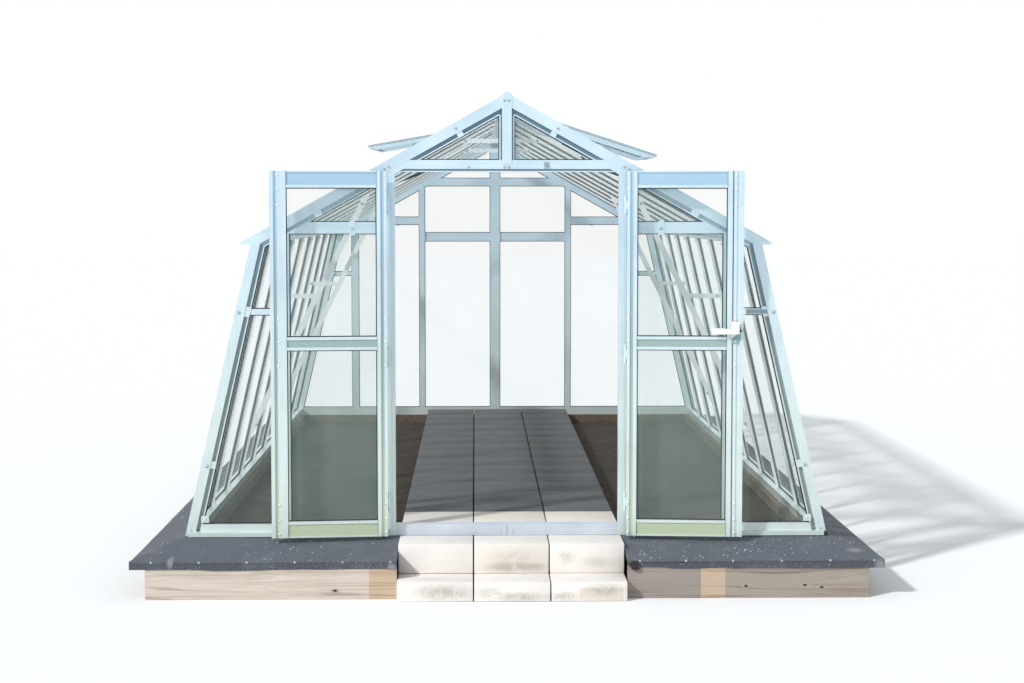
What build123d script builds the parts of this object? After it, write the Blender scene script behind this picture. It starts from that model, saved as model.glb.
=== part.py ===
from build123d import *
import math
import os

# A walk-in glass greenhouse: bare aluminium frame with walls that lean inwards, clear glass,
# double doors folded back against the front, two open roof vents, a low timber base with a
# felted ledge, and a block step. Millimetres. X is across, Y runs from the front to the rear,
# Z is up. The origin is on the ground under the middle of the glasshouse.

# Glasshouse
BAYS = 9
BAY = 610.0
FOOT_X = 1550.0
EAVE_X = 1215.0
EAVE_RISE = 1443.0
RIDGE_RISE = 2121.0
BASE_HEIGHT = 236.0

# Gable profiles: an outer flange, a recessed channel and a thin lip against the glass
GABLE_DEPTH = 45.0
CHANNEL_FLOOR = 20.0
LIP_FRONT = 8.0
LIP = 6.0
POST_FLANGE = 45.0
POST_BODY = 69.0
RAFTER_FLANGE = 50.0
RAFTER_BODY = 74.0
KING_FLANGE = 46.0
KING_BODY = 72.0
KING_PROUD = 3.0
KING_LAP = 20.0
APEX_GAP = 1.0
JAMB_INNER_X = 536.0
JAMB_WIDTH = 40.0
TIE_STEP = 10.0
TIE_HEIGHT = 57.0
TIE_FACE_RISE = 14.0
TRANSOM_STEP = 11.0
TRANSOM_HEIGHT = 55.0
MULLION_LAP = 3.0
MULLION_WIDTH = 50.0
MIDRAIL_RISE = 1066.0
MIDRAIL_HEIGHT = 28.0
REAR_TRANSOM_DROP = 115.0
REAR_TRANSOM_HEIGHT = 63.0
RAIL_DEPTH = 30.0
GABLE_SILL_HEIGHT = 56.0
THRESHOLD_HEIGHT = 53.0
THRESHOLD_DEPTH = 60.0
THRESHOLD_GAP = 1.0

# Glass and its bars
GLASS = 4.0
GLASS_INSET = 20.0
BAR_CAP_WIDTH = 24.0
BAR_CAP_INSET = 13.0
BAR_CAP_DEPTH = 4.0
BAR_WEB_WIDTH = 8.0
BAR_DEPTH = 42.0
SIDE_SILL_HEIGHT = 50.0
SIDE_SILL_WIDTH = 63.0
EAVE_BEAM_DROP = 45.0
EAVE_BEAM_RUN = 50.0
RIDGE_HALF = 40.0
RIDGE_CAP_HALF = 28.0
RIDGE_CAP = 7.0
GUTTER_REACH = 57.0
GUTTER_DROP = 42.0
GUTTER_SHEET = 3.0
GUTTER_LIP = 4.0

# Braced frames
BRACED_BARS = (3, 6)
BRACE_WIDTH = 32.0
BRACE_THICK = 8.0
BRACE_FOOT_RISE = 321.0
BRACE_HEAD_X = 780.0
STRUT_RISE = 1060.0
STRUT_HEIGHT = 26.0
COLLAR_REACH = 227.0
COLLAR_HEIGHT = 26.0

# Roof vents
LEFT_VENT_BAY = 4
RIGHT_VENT_BAY = 1
LEFT_VENT_OPENING = 19.2
RIGHT_VENT_OPENING = 11.2
VENT_LENGTH = 764.0
VENT_THICK = 36.0
VENT_RAIL = 28.0
VENT_FOOT_RAIL = 42.0
VENT_NOSE = 56.0
VENT_SIDE_GAP = 4.0
VENT_DROP = 7.0
VENT_SEAT = 0.3
TRIMMER_WIDTH = 34.0
STAY_WIDTH = 14.0
STAY_THICK = 4.0
STAY_REACH = 480.0

# Doors
HINGE_X = 565.0
HINGE_REACH = 40.0
DOOR_OPEN = 175.0
LEAF_START = 8.0
LEAF_END = 560.0
LEAF_BACK = 34.0
LEAF_THICK = 28.0
LEAF_CLEAR = 8.0
LEAF_LAP = 4.0
STILE_WIDTH = 48.0
LOCK_STILE_WIDTH = 78.0
DOOR_TOP_RAIL = 80.0
DOOR_MID_RAIL = 63.0
DOOR_MID_RISE = 903.0
DOOR_BOTTOM_RAIL = 78.0
CHANNEL_WIDTH = 16.0
CHANNEL_MARGIN = 18.0
CHANNEL_DEPTH = 6.0
RAIL_FLANGE = 14.0
KNUCKLE_RADIUS = 7.0
PIN_RADIUS = 3.0
PIN_CLEARANCE = 0.05
KNUCKLE_LENGTH = 40.0
KNUCKLE_GAP = 0.3
PIN_KNUCKLE_LENGTH = 24.0
HINGE_INSET = 160.0
HINGE_ARM = (4.0, 11.0)
STRAP_DEPTH = 16.0
HANDLE_RISE = 992.0
HANDLE_INSET = 29.0
PLATE_WIDTH = 40.0
PLATE_HEIGHT = 92.0
PLATE_THICK = 6.0
LEVER_LENGTH = 122.0
LEVER_HEIGHT = 18.0
LEVER_THICK = 14.0
LEVER_STANDOFF = 24.0
SPINDLE_RADIUS = 9.0

# Base
BEARER_WIDTH = 95.0
FRONT_LEDGE = 375.0
SIDE_LEDGE = 205.0
LEDGE_FALL = 54.0
LEDGE_THICK = 22.0
FASCIA_BOTTOM = 140.0
FASCIA_THICK = 10.0
FRONT_OVERHANG = 10.0
SIDE_OVERHANG = 72.0
PLANK_HEIGHT = 150.0
PLANK_THICK = 28.0
STEP_CLEAR = 2.0
STEP_CLEAR_RIGHT = 6.0
BED_TOP = 190.0
PAVING_TOP = 281.0
PAVING_LEFT = -510.0
PAVING_RIGHT = 540.0
PAVING_GAP = 4.0
SLAB_LENGTH = 350.0

# Step
BLOCKS = 3
BLOCK_LENGTH = 352.0
BLOCK_JOINT = 5.0
STEP_LEFT = -516.0
UPPER_STEP_DEPTH = 235.0
LOWER_STEP_DEPTH = 438.0
LOWER_STEP_HEIGHT = 93.0
BLOCK_CHAMFER = 3.0

FRONT = -BAYS * BAY / 2
REAR = -FRONT
FOOT_Z = BASE_HEIGHT
EAVE_Z = FOOT_Z + EAVE_RISE
RIDGE_Z = FOOT_Z + RIDGE_RISE
LEAN = (FOOT_X - EAVE_X) / EAVE_RISE
SLOPE = (RIDGE_RISE - EAVE_RISE) / EAVE_X
LEAN_STRETCH = math.hypot(1, LEAN)
SLOPE_STRETCH = math.hypot(1, SLOPE)
ROOF_ANGLE = math.degrees(math.atan(SLOPE))
JAMB_OUTER_X = JAMB_INNER_X + JAMB_WIDTH
TRANSOM_BOTTOM = EAVE_Z + TRANSOM_STEP
TRANSOM_TOP = TRANSOM_BOTTOM + TRANSOM_HEIGHT
MIDRAIL_BOTTOM = FOOT_Z + MIDRAIL_RISE
MIDRAIL_TOP = MIDRAIL_BOTTOM + MIDRAIL_HEIGHT
REAR_TRANSOM_BOTTOM = EAVE_Z - REAR_TRANSOM_DROP
REAR_TRANSOM_TOP = REAR_TRANSOM_BOTTOM + REAR_TRANSOM_HEIGHT
GABLE_SILL_TOP = FOOT_Z + GABLE_SILL_HEIGHT
SIDE_SILL_TOP = FOOT_Z + SIDE_SILL_HEIGHT
EAVE_BEAM_BOTTOM = EAVE_Z - EAVE_BEAM_DROP
EAVE_BEAM_INNER_X = EAVE_X - EAVE_BEAM_RUN
GUTTER_TIP_X = EAVE_X + GUTTER_REACH
GUTTER_BOTTOM = EAVE_Z - GUTTER_DROP
KING_EDGE = KING_BODY / 2
GABLE_GLASS_AT = GABLE_DEPTH / 2
LEDGE_LEFT_END = STEP_LEFT - STEP_CLEAR
STEP_RIGHT = STEP_LEFT + BLOCKS * BLOCK_LENGTH + (BLOCKS - 1) * BLOCK_JOINT
LEDGE_RIGHT_END = STEP_RIGHT + STEP_CLEAR_RIGHT


def wall_x(z, inset=0.0):
    """X of the leaning right wall at height z, set in from its outer face."""
    return FOOT_X - (z - FOOT_Z) * LEAN - inset * LEAN_STRETCH


def roof_z(x, inset=0.0):
    """Height of the roof at x, set in from its outer face."""
    return RIDGE_Z - abs(x) * SLOPE - inset * SLOPE_STRETCH


def roof_x(z, inset=0.0):
    """X of the right roof slope at height z."""
    return (RIDGE_Z - inset * SLOPE_STRETCH - z) / SLOPE


def eave_point(wall_inset, roof_inset):
    """Where the wall's and the roof's inset lines cross."""
    drop = RIDGE_RISE - roof_inset * SLOPE_STRETCH
    x = (FOOT_X - drop * LEAN - wall_inset * LEAN_STRETCH) / (1 - SLOPE * LEAN)
    return (x, roof_z(x, roof_inset))


def cross(point, direction, other, other_direction):
    """Crossing of two lines in a plane, each a point and a direction."""
    turn = direction[0] * other_direction[1] - direction[1] * other_direction[0]
    gap = (other[0] - point[0], other[1] - point[1])
    reach = (gap[0] * other_direction[1] - gap[1] * other_direction[0]) / turn
    return (point[0] + direction[0] * reach, point[1] + direction[1] * reach)


def strip(start, end, width, start_line, end_line):
    """Outline of a straight bar whose two ends lie along the lines it runs between."""
    run = (end[0] - start[0], end[1] - start[1])
    length = math.hypot(*run)
    side = (-run[1] / length * width / 2, run[0] / length * width / 2)
    corners = []
    for sign, line in ((1, start_line), (-1, start_line), (-1, end_line), (1, end_line)):
        edge = (start[0] + sign * side[0], start[1] + sign * side[1])
        corners.append(cross(edge, run, line[0], line[1]))
    return corners


def prism(outline, y0, y1):
    """An outline in X and Z, carried along Y."""
    wire = Wire.make_polygon([Vector(x, y0, z) for x, z in outline], close=True)
    return Solid.extrude(Face(wire), Vector(0, y1 - y0, 0))


def side_prism(outline, x0, x1):
    """An outline in Y and Z, carried along X."""
    wire = Wire.make_polygon([Vector(x0, y, z) for y, z in outline], close=True)
    return Solid.extrude(Face(wire), Vector(x1 - x0, 0, 0))


def plan_prism(outline, z0, z1):
    """An outline in X and Y, carried up."""
    wire = Wire.make_polygon([Vector(x, y, z0) for x, y in outline], close=True)
    return Solid.extrude(Face(wire), Vector(0, 0, z1 - z0))


def block(x0, x1, y0, y1, z0, z1):
    return Pos((x0 + x1) / 2, (y0 + y1) / 2, (z0 + z1) / 2) * Box(x1 - x0, y1 - y0, z1 - z0)


def flip(shape):
    """The same piece on the left."""
    return shape.mirror(Plane.YZ)


def both(shape):
    return [shape, flip(shape)]


def gable_prism(outline, depth0, depth1, rear):
    """Carries an outline between two depths behind the front face, or the same at the rear."""
    if rear:
        return prism(outline, REAR - depth1, REAR - depth0)
    return prism(outline, FRONT + depth0, FRONT + depth1)


def save(name, shapes):
    solids = []
    for shape in shapes:
        solids.extend(shape.solids())
    export_step(solids[0] if len(solids) == 1 else Compound(children=solids), f"parts/{name}.step")


# Gables

TIE_BOTTOM = roof_z(JAMB_INNER_X, RAFTER_BODY) + TIE_STEP
TIE_TOP = TIE_BOTTOM + TIE_HEIGHT
MULLION_INNER_X = roof_x(TRANSOM_BOTTOM, RAFTER_BODY) - MULLION_LAP
MULLION_OUTER_X = MULLION_INNER_X + MULLION_WIDTH
KING_HALF = KING_FLANGE / 2


def post(rear):
    shoulder = (wall_x(GUTTER_BOTTOM), GUTTER_BOTTOM)
    flange = [(wall_x(FOOT_Z), FOOT_Z), shoulder, eave_point(POST_FLANGE, RAFTER_FLANGE),
              (wall_x(FOOT_Z, POST_FLANGE), FOOT_Z)]
    core = [(wall_x(FOOT_Z), FOOT_Z), eave_point(0, 0), eave_point(POST_BODY, RAFTER_BODY),
            (wall_x(FOOT_Z, POST_BODY), FOOT_Z)]
    lip = [(wall_x(FOOT_Z, POST_BODY - LIP), FOOT_Z), eave_point(POST_BODY - LIP, RAFTER_BODY - LIP),
           eave_point(POST_BODY, RAFTER_BODY), (wall_x(FOOT_Z, POST_BODY), FOOT_Z)]
    return (gable_prism(flange, 0, CHANNEL_FLOOR, rear)
            + gable_prism(core, CHANNEL_FLOOR, GABLE_DEPTH, rear)
            + gable_prism(lip, LIP_FRONT, CHANNEL_FLOOR, rear))


def rafter(rear):
    start = APEX_GAP / 2
    flange = [(KING_HALF, roof_z(KING_HALF)), (GUTTER_TIP_X, roof_z(GUTTER_TIP_X)),
              (GUTTER_TIP_X - GUTTER_LIP, GUTTER_BOTTOM), (wall_x(GUTTER_BOTTOM), GUTTER_BOTTOM),
              eave_point(POST_FLANGE, RAFTER_FLANGE), (KING_HALF, roof_z(KING_HALF, RAFTER_FLANGE))]
    core = [(start, roof_z(start)), eave_point(0, 0), eave_point(POST_BODY, RAFTER_BODY),
            (start, roof_z(start, RAFTER_BODY))]
    lip = [(KING_EDGE, roof_z(KING_EDGE, RAFTER_BODY - LIP)),
           eave_point(POST_BODY - LIP, RAFTER_BODY - LIP), eave_point(POST_BODY, RAFTER_BODY),
           (KING_EDGE, roof_z(KING_EDGE, RAFTER_BODY))]
    return (gable_prism(flange, 0, CHANNEL_FLOOR, rear)
            + gable_prism(core, CHANNEL_FLOOR, GABLE_DEPTH, rear)
            + gable_prism(lip, LIP_FRONT, CHANNEL_FLOOR, rear))


def between_rafters(bottom, top, inset):
    left_low = -roof_x(bottom, inset)
    left_high = -roof_x(top, inset)
    return [(left_low, bottom), (-left_low, bottom), (-left_high, top), (left_high, top)]


def tie_beam(rear):
    face = between_rafters(TIE_BOTTOM + TIE_FACE_RISE, TIE_TOP, RAFTER_BODY)
    core = between_rafters(TIE_BOTTOM, TIE_TOP, RAFTER_BODY)
    lip = between_rafters(TIE_BOTTOM, TIE_BOTTOM + LIP, RAFTER_BODY)
    return (gable_prism(face, 0, CHANNEL_FLOOR, rear)
            + gable_prism(core, CHANNEL_FLOOR, GABLE_DEPTH, rear)
            + gable_prism(lip, LIP_FRONT, CHANNEL_FLOOR, rear))


def king_post(rear):
    """Post from the tie to the apex. Its flange laps over the face of the tie."""
    half = KING_HALF
    flange = [(-half, TIE_TOP), (half, TIE_TOP), (half, roof_z(half)), (0, roof_z(0)),
              (-half, roof_z(half))]
    cover = [(-half, TIE_TOP - KING_LAP), (half, TIE_TOP - KING_LAP), (half, roof_z(half)),
             (0, roof_z(0)), (-half, roof_z(half))]
    side = roof_z(KING_EDGE, RAFTER_BODY)
    core = [(-KING_EDGE, TIE_TOP), (KING_EDGE, TIE_TOP), (KING_EDGE, side),
            (0, roof_z(0, RAFTER_BODY)), (-KING_EDGE, side)]
    piece = (gable_prism(flange, 0, CHANNEL_FLOOR, rear)
             + gable_prism(cover, -KING_PROUD, 0, rear)
             + gable_prism(core, CHANNEL_FLOOR, GABLE_DEPTH, rear))
    lip = [(KING_EDGE - LIP, TIE_TOP), (KING_EDGE, TIE_TOP), (KING_EDGE, side),
           (KING_EDGE - LIP, roof_z(KING_EDGE - LIP, RAFTER_BODY))]
    for strip_piece in both(gable_prism(lip, LIP_FRONT, CHANNEL_FLOOR, rear)):
        piece += strip_piece
    return piece


def jamb():
    """Right door jamb, cut along the underside of the rafter."""
    outline = [(JAMB_INNER_X, FOOT_Z), (JAMB_OUTER_X, FOOT_Z),
               (JAMB_OUTER_X, roof_z(JAMB_OUTER_X, RAFTER_BODY)),
               (JAMB_INNER_X, roof_z(JAMB_INNER_X, RAFTER_BODY))]
    return gable_prism(outline, 0, GABLE_DEPTH, False)


def side_mullion(rear):
    """Right mullion beside the corner post, under the end of the transom."""
    outline = [(MULLION_INNER_X, GABLE_SILL_TOP), (MULLION_OUTER_X, GABLE_SILL_TOP),
               (MULLION_OUTER_X, roof_z(MULLION_OUTER_X, RAFTER_BODY)),
               (roof_x(TRANSOM_BOTTOM, RAFTER_BODY), TRANSOM_BOTTOM),
               (MULLION_INNER_X, TRANSOM_BOTTOM)]
    return gable_prism(outline, 0, GABLE_DEPTH, rear)


def transom_outline():
    return [(JAMB_OUTER_X, TRANSOM_BOTTOM), (roof_x(TRANSOM_BOTTOM, RAFTER_BODY), TRANSOM_BOTTOM),
            (roof_x(TRANSOM_TOP, RAFTER_BODY), TRANSOM_TOP), (JAMB_OUTER_X, TRANSOM_TOP)]


def midrail_outline():
    return [(MULLION_OUTER_X, MIDRAIL_BOTTOM), (wall_x(MIDRAIL_BOTTOM, POST_BODY), MIDRAIL_BOTTOM),
            (wall_x(MIDRAIL_TOP, POST_BODY), MIDRAIL_TOP), (MULLION_OUTER_X, MIDRAIL_TOP)]


def side_rails(rear):
    """Transom of the right sidelight and the thin mid rail between its mullion and the post."""
    return [gable_prism(transom_outline(), 0, RAIL_DEPTH, rear),
            gable_prism(midrail_outline(), LIP_FRONT, RAIL_DEPTH, rear)]


def gable_sill(inner_x, rear):
    outline = [(inner_x, FOOT_Z), (wall_x(FOOT_Z, POST_BODY), FOOT_Z),
               (wall_x(GABLE_SILL_TOP, POST_BODY), GABLE_SILL_TOP), (inner_x, GABLE_SILL_TOP)]
    return gable_prism(outline, 0, GABLE_DEPTH, rear)


def threshold():
    half = THRESHOLD_GAP / 2
    return both(block(half, JAMB_INNER_X, FRONT, FRONT + THRESHOLD_DEPTH,
                      FOOT_Z, FOOT_Z + THRESHOLD_HEIGHT))


def rear_transoms():
    outline = [(KING_EDGE, REAR_TRANSOM_BOTTOM), (JAMB_INNER_X, REAR_TRANSOM_BOTTOM),
               (JAMB_INNER_X, REAR_TRANSOM_TOP), (KING_EDGE, REAR_TRANSOM_TOP)]
    return both(gable_prism(outline, 0, RAIL_DEPTH, True))


def rear_centre_post():
    outline = [(-KING_EDGE, GABLE_SILL_TOP), (KING_EDGE, GABLE_SILL_TOP),
               (KING_EDGE, TIE_BOTTOM), (-KING_EDGE, TIE_BOTTOM)]
    return gable_prism(outline, 0, GABLE_DEPTH, True)


def rear_sill():
    foot = wall_x(FOOT_Z, POST_BODY)
    top = wall_x(GABLE_SILL_TOP, POST_BODY)
    outline = [(-foot, FOOT_Z), (foot, FOOT_Z), (top, GABLE_SILL_TOP), (-top, GABLE_SILL_TOP)]
    return gable_prism(outline, 0, GABLE_DEPTH, True)


def rear_mullion():
    outline = [(JAMB_INNER_X, GABLE_SILL_TOP), (JAMB_OUTER_X, GABLE_SILL_TOP),
               (JAMB_OUTER_X, roof_z(JAMB_OUTER_X, RAFTER_BODY)),
               (JAMB_INNER_X, roof_z(JAMB_INNER_X, RAFTER_BODY))]
    return gable_prism(outline, 0, GABLE_DEPTH, True)


def gable_pane(outline, rear):
    return gable_prism(outline, GABLE_GLASS_AT, GABLE_GLASS_AT + GLASS, rear)


def side_panes(rear):
    """Panes of the right sidelight: one tall pane beside the door, two narrow ones beside the
    post, and the triangle over the transom."""
    tall = [(JAMB_OUTER_X, GABLE_SILL_TOP), (MULLION_INNER_X, GABLE_SILL_TOP),
            (MULLION_INNER_X, TRANSOM_BOTTOM), (JAMB_OUTER_X, TRANSOM_BOTTOM)]
    lower = [(MULLION_OUTER_X, GABLE_SILL_TOP), (wall_x(GABLE_SILL_TOP, POST_BODY), GABLE_SILL_TOP),
             (wall_x(MIDRAIL_BOTTOM, POST_BODY), MIDRAIL_BOTTOM), (MULLION_OUTER_X, MIDRAIL_BOTTOM)]
    upper = [(MULLION_OUTER_X, MIDRAIL_TOP), (wall_x(MIDRAIL_TOP, POST_BODY), MIDRAIL_TOP),
             eave_point(POST_BODY, RAFTER_BODY),
             (MULLION_OUTER_X, roof_z(MULLION_OUTER_X, RAFTER_BODY))]
    triangle = [(JAMB_OUTER_X, TRANSOM_TOP), (roof_x(TRANSOM_TOP, RAFTER_BODY), TRANSOM_TOP),
                (JAMB_OUTER_X, roof_z(JAMB_OUTER_X, RAFTER_BODY))]
    return [gable_pane(outline, rear) for outline in (tall, lower, upper, triangle)]


def top_pane(rear):
    outline = [(KING_EDGE, TIE_TOP), (roof_x(TIE_TOP, RAFTER_BODY), TIE_TOP),
               (KING_EDGE, roof_z(KING_EDGE, RAFTER_BODY))]
    return gable_pane(outline, rear)


def rear_middle_panes():
    lower = [(KING_EDGE, GABLE_SILL_TOP), (JAMB_INNER_X, GABLE_SILL_TOP),
             (JAMB_INNER_X, REAR_TRANSOM_BOTTOM), (KING_EDGE, REAR_TRANSOM_BOTTOM)]
    upper = [(KING_EDGE, REAR_TRANSOM_TOP), (JAMB_INNER_X, REAR_TRANSOM_TOP),
             (JAMB_INNER_X, roof_z(JAMB_INNER_X, RAFTER_BODY)),
             (roof_x(TIE_BOTTOM, RAFTER_BODY), TIE_BOTTOM), (KING_EDGE, TIE_BOTTOM)]
    return [gable_pane(lower, True), gable_pane(upper, True)]


def gable_glass(rear):
    panes = side_panes(rear) + [top_pane(rear)]
    if rear:
        panes += rear_middle_panes()
    return [piece for pane in panes for piece in both(pane)]


# Walls and roof

SPAN_START = FRONT + GABLE_DEPTH
SPAN_END = REAR - GABLE_DEPTH


def bar_y(number):
    return FRONT + number * BAY


def wall_band(z0, z1, inset0, inset1):
    return [(wall_x(z0, inset0), z0), (wall_x(z1, inset0), z1),
            (wall_x(z1, inset1), z1), (wall_x(z0, inset1), z0)]


def roof_band(x0, x1, inset0, inset1):
    return [(x0, roof_z(x0, inset0)), (x1, roof_z(x1, inset0)),
            (x1, roof_z(x1, inset1)), (x0, roof_z(x0, inset1))]


def tee_bar(band, number):
    """Glazing bar of T section: a cap outside the glass and a web through it."""
    y = bar_y(number)
    cap_end = BAR_CAP_INSET + BAR_CAP_DEPTH
    cap = prism(band(BAR_CAP_INSET, cap_end), y - BAR_CAP_WIDTH / 2, y + BAR_CAP_WIDTH / 2)
    web = prism(band(cap_end, BAR_DEPTH), y - BAR_WEB_WIDTH / 2, y + BAR_WEB_WIDTH / 2)
    return cap + web


def wall_bar(number):
    return tee_bar(lambda a, b: wall_band(SIDE_SILL_TOP, EAVE_BEAM_BOTTOM, a, b), number)


def roof_bar(number):
    return tee_bar(lambda a, b: roof_band(RIDGE_HALF, EAVE_BEAM_INNER_X, a, b), number)


def bay_span(bay):
    """Start and end in Y of the pane of a bay."""
    start = SPAN_START if bay == 0 else bar_y(bay) + BAR_WEB_WIDTH / 2
    end = SPAN_END if bay == BAYS - 1 else bar_y(bay + 1) - BAR_WEB_WIDTH / 2
    return start, end


def wall_panes():
    outline = wall_band(SIDE_SILL_TOP, EAVE_BEAM_BOTTOM, GLASS_INSET, GLASS_INSET + GLASS)
    return [prism(outline, *bay_span(bay)) for bay in range(BAYS)]


def vent_hinge(tilt):
    """Upper corner of an open vent, whose lower corner rests against the ridge."""
    x = RIDGE_HALF + VENT_SEAT + VENT_THICK * math.sin(math.radians(tilt))
    return x, roof_z(x, VENT_DROP)


def trimmer_x():
    """Middle of the trimmer, under the foot of the closed vent."""
    run = (VENT_LENGTH - VENT_FOOT_RAIL / 2) / SLOPE_STRETCH
    return RIDGE_HALF + run


def roof_panes(vent_bay):
    panes = []
    for bay in range(BAYS):
        top = trimmer_x() + TRIMMER_WIDTH / 2 if bay == vent_bay else RIDGE_HALF
        outline = roof_band(top, EAVE_BEAM_INNER_X, GLASS_INSET, GLASS_INSET + GLASS)
        panes.append(prism(outline, *bay_span(bay)))
    return panes


def trimmer(vent_bay):
    half = TRIMMER_WIDTH / 2
    outline = roof_band(trimmer_x() - half, trimmer_x() + half,
                        BAR_CAP_INSET + BAR_CAP_DEPTH, BAR_DEPTH)
    return prism(outline, *bay_span(vent_bay))


def side_sill():
    outline = wall_band(FOOT_Z, SIDE_SILL_TOP, 0, SIDE_SILL_WIDTH)
    return prism(outline, SPAN_START, SPAN_END)


def eave():
    """Eave beam with its shallow gutter."""
    beam = [(wall_x(EAVE_BEAM_BOTTOM), EAVE_BEAM_BOTTOM), eave_point(0, 0),
            (EAVE_BEAM_INNER_X, roof_z(EAVE_BEAM_INNER_X)),
            (EAVE_BEAM_INNER_X, roof_z(EAVE_BEAM_INNER_X, BAR_DEPTH)),
            eave_point(BAR_DEPTH, BAR_DEPTH),
            (wall_x(EAVE_BEAM_BOTTOM, BAR_DEPTH), EAVE_BEAM_BOTTOM)]
    tip_z = roof_z(GUTTER_TIP_X)
    floor_top = GUTTER_BOTTOM + GUTTER_SHEET
    gutter = [(wall_x(GUTTER_BOTTOM, GUTTER_SHEET), GUTTER_BOTTOM),
              (GUTTER_TIP_X - GUTTER_LIP, GUTTER_BOTTOM), (GUTTER_TIP_X, tip_z),
              (GUTTER_TIP_X - GUTTER_LIP, tip_z),
              (GUTTER_TIP_X - 2 * GUTTER_LIP, floor_top), (wall_x(floor_top, GUTTER_SHEET), floor_top)]
    channel = prism(gutter, FRONT + CHANNEL_FLOOR, REAR - CHANNEL_FLOOR)
    notch = block(0, wall_x(GUTTER_BOTTOM), FRONT, SPAN_START, FOOT_Z, RIDGE_Z)
    far_notch = block(0, wall_x(GUTTER_BOTTOM), SPAN_END, REAR, FOOT_Z, RIDGE_Z)
    return prism(beam, SPAN_START, SPAN_END) + (channel - notch - far_notch)


def ridge():
    """Ridge beam between the gables, with a cap that runs on over both of them."""
    half = RIDGE_HALF
    beam = [(-half, roof_z(half)), (0, RIDGE_Z), (half, roof_z(half)),
            (half, roof_z(half, BAR_DEPTH)), (0, roof_z(0, BAR_DEPTH)), (-half, roof_z(half, BAR_DEPTH))]
    edge = roof_z(RIDGE_CAP_HALF)
    cap = [(-RIDGE_CAP_HALF, edge), (0, RIDGE_Z), (RIDGE_CAP_HALF, edge),
           (RIDGE_CAP_HALF, edge + RIDGE_CAP), (0, RIDGE_Z + RIDGE_CAP), (-RIDGE_CAP_HALF, edge + RIDGE_CAP)]
    return prism(beam, SPAN_START, SPAN_END) + prism(cap, FRONT, REAR)


def wall_inner_line():
    z = FOOT_Z
    return ((wall_x(z, BAR_DEPTH), z), (-LEAN, 1.0))


def roof_inner_line():
    return ((0.0, roof_z(0, BAR_DEPTH)), (1.0, -SLOPE))


def knee_brace(number):
    """Straight brace from a wall bar to its roof bar, with a short level strut."""
    y = bar_y(number)
    foot_z = FOOT_Z + BRACE_FOOT_RISE
    foot = (wall_x(foot_z, BAR_DEPTH), foot_z)
    head = (BRACE_HEAD_X, roof_z(BRACE_HEAD_X, BAR_DEPTH))
    brace = strip(foot, head, BRACE_WIDTH, wall_inner_line(), roof_inner_line())
    z0 = FOOT_Z + STRUT_RISE
    z1 = z0 + STRUT_HEIGHT
    lean = (head[0] - foot[0]) / (head[1] - foot[1])
    strut = [(foot[0] + (z0 - foot_z) * lean, z0), (wall_x(z0, BAR_DEPTH), z0),
             (wall_x(z1, BAR_DEPTH), z1), (foot[0] + (z1 - foot_z) * lean, z1)]
    half = BRACE_THICK / 2
    return prism(brace, y - half, y + half) + prism(strut, y - half, y + half)


def collar_tie(number):
    y = bar_y(number)
    bottom = roof_z(COLLAR_REACH, BAR_DEPTH)
    outline = between_rafters(bottom, bottom + COLLAR_HEIGHT, BAR_DEPTH)
    return prism(outline, y - BRACE_THICK / 2, y + BRACE_THICK / 2)


# Roof vents

def vent_side_span(bay):
    inset = BAR_CAP_WIDTH / 2 + VENT_SIDE_GAP
    return bar_y(bay) + inset, bar_y(bay + 1) - inset


def place_vent(shape, tilt):
    x, z = vent_hinge(tilt)
    return Pos(x, 0, z) * Rot(0, tilt, 0) * shape


def vent_frame(bay, tilt):
    """Vent frame made flat, then laid at its open tilt. Its foot is cut back underneath."""
    y0, y1 = vent_side_span(bay)
    side = [(0, -VENT_THICK), (VENT_LENGTH - VENT_NOSE, -VENT_THICK), (VENT_LENGTH, -VENT_THICK / 3),
            (VENT_LENGTH, 0), (0, 0)]
    plate = prism(side, y0, y1)
    hole = block(VENT_RAIL, VENT_LENGTH - VENT_FOOT_RAIL, y0 + VENT_RAIL, y1 - VENT_RAIL,
                 -2 * VENT_THICK, VENT_THICK)
    return place_vent(plate - hole, tilt)


def vent_pane(bay, tilt):
    y0, y1 = vent_side_span(bay)
    pane = block(VENT_RAIL, VENT_LENGTH - VENT_FOOT_RAIL, y0 + VENT_RAIL, y1 - VENT_RAIL,
                 -2 * GLASS, -GLASS)
    return place_vent(pane, tilt)


def vent_stay(bay, tilt):
    """Prop from the trimmer to the side rail of the open vent."""
    y = vent_side_span(bay)[0] + VENT_RAIL / 2
    hinge_x, hinge_z = vent_hinge(tilt)
    along = (math.cos(math.radians(tilt)), -math.sin(math.radians(tilt)))
    under = (hinge_x - VENT_THICK * -along[1] + STAY_REACH * along[0],
             hinge_z - VENT_THICK * along[0] + STAY_REACH * along[1])
    seat = (trimmer_x(), roof_z(trimmer_x(), BAR_CAP_INSET + BAR_CAP_DEPTH))
    outline = strip(seat, under, STAY_WIDTH, (seat, (1.0, -SLOPE)), (under, along))
    return prism(outline, y - STAY_THICK / 2, y + STAY_THICK / 2)


# Doors. The left leaf is drawn closed with its hinge axis at x = 0 and y = 0, then turned open.

LEAF_Z = FOOT_Z + LEAF_CLEAR
LEAF_TOP = TIE_BOTTOM + LEAF_LAP
LEAF_FRONT = LEAF_BACK - LEAF_THICK
HINGE_LEVELS = (LEAF_Z + HINGE_INSET, (LEAF_Z + LEAF_TOP) / 2, LEAF_TOP - HINGE_INSET)


def open_left(shape):
    return Pos(-HINGE_X, FRONT - HINGE_REACH, 0) * Rot(0, 0, -DOOR_OPEN) * shape


def leaf_windows():
    """Lower and upper window of a leaf: x0, x1, z0, z1."""
    x0 = LEAF_START + STILE_WIDTH
    x1 = LEAF_END - LOCK_STILE_WIDTH
    mid = FOOT_Z + DOOR_MID_RISE
    return ((x0, x1, LEAF_Z + DOOR_BOTTOM_RAIL, mid),
            (x0, x1, mid + DOOR_MID_RAIL, LEAF_TOP - DOOR_TOP_RAIL))


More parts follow.
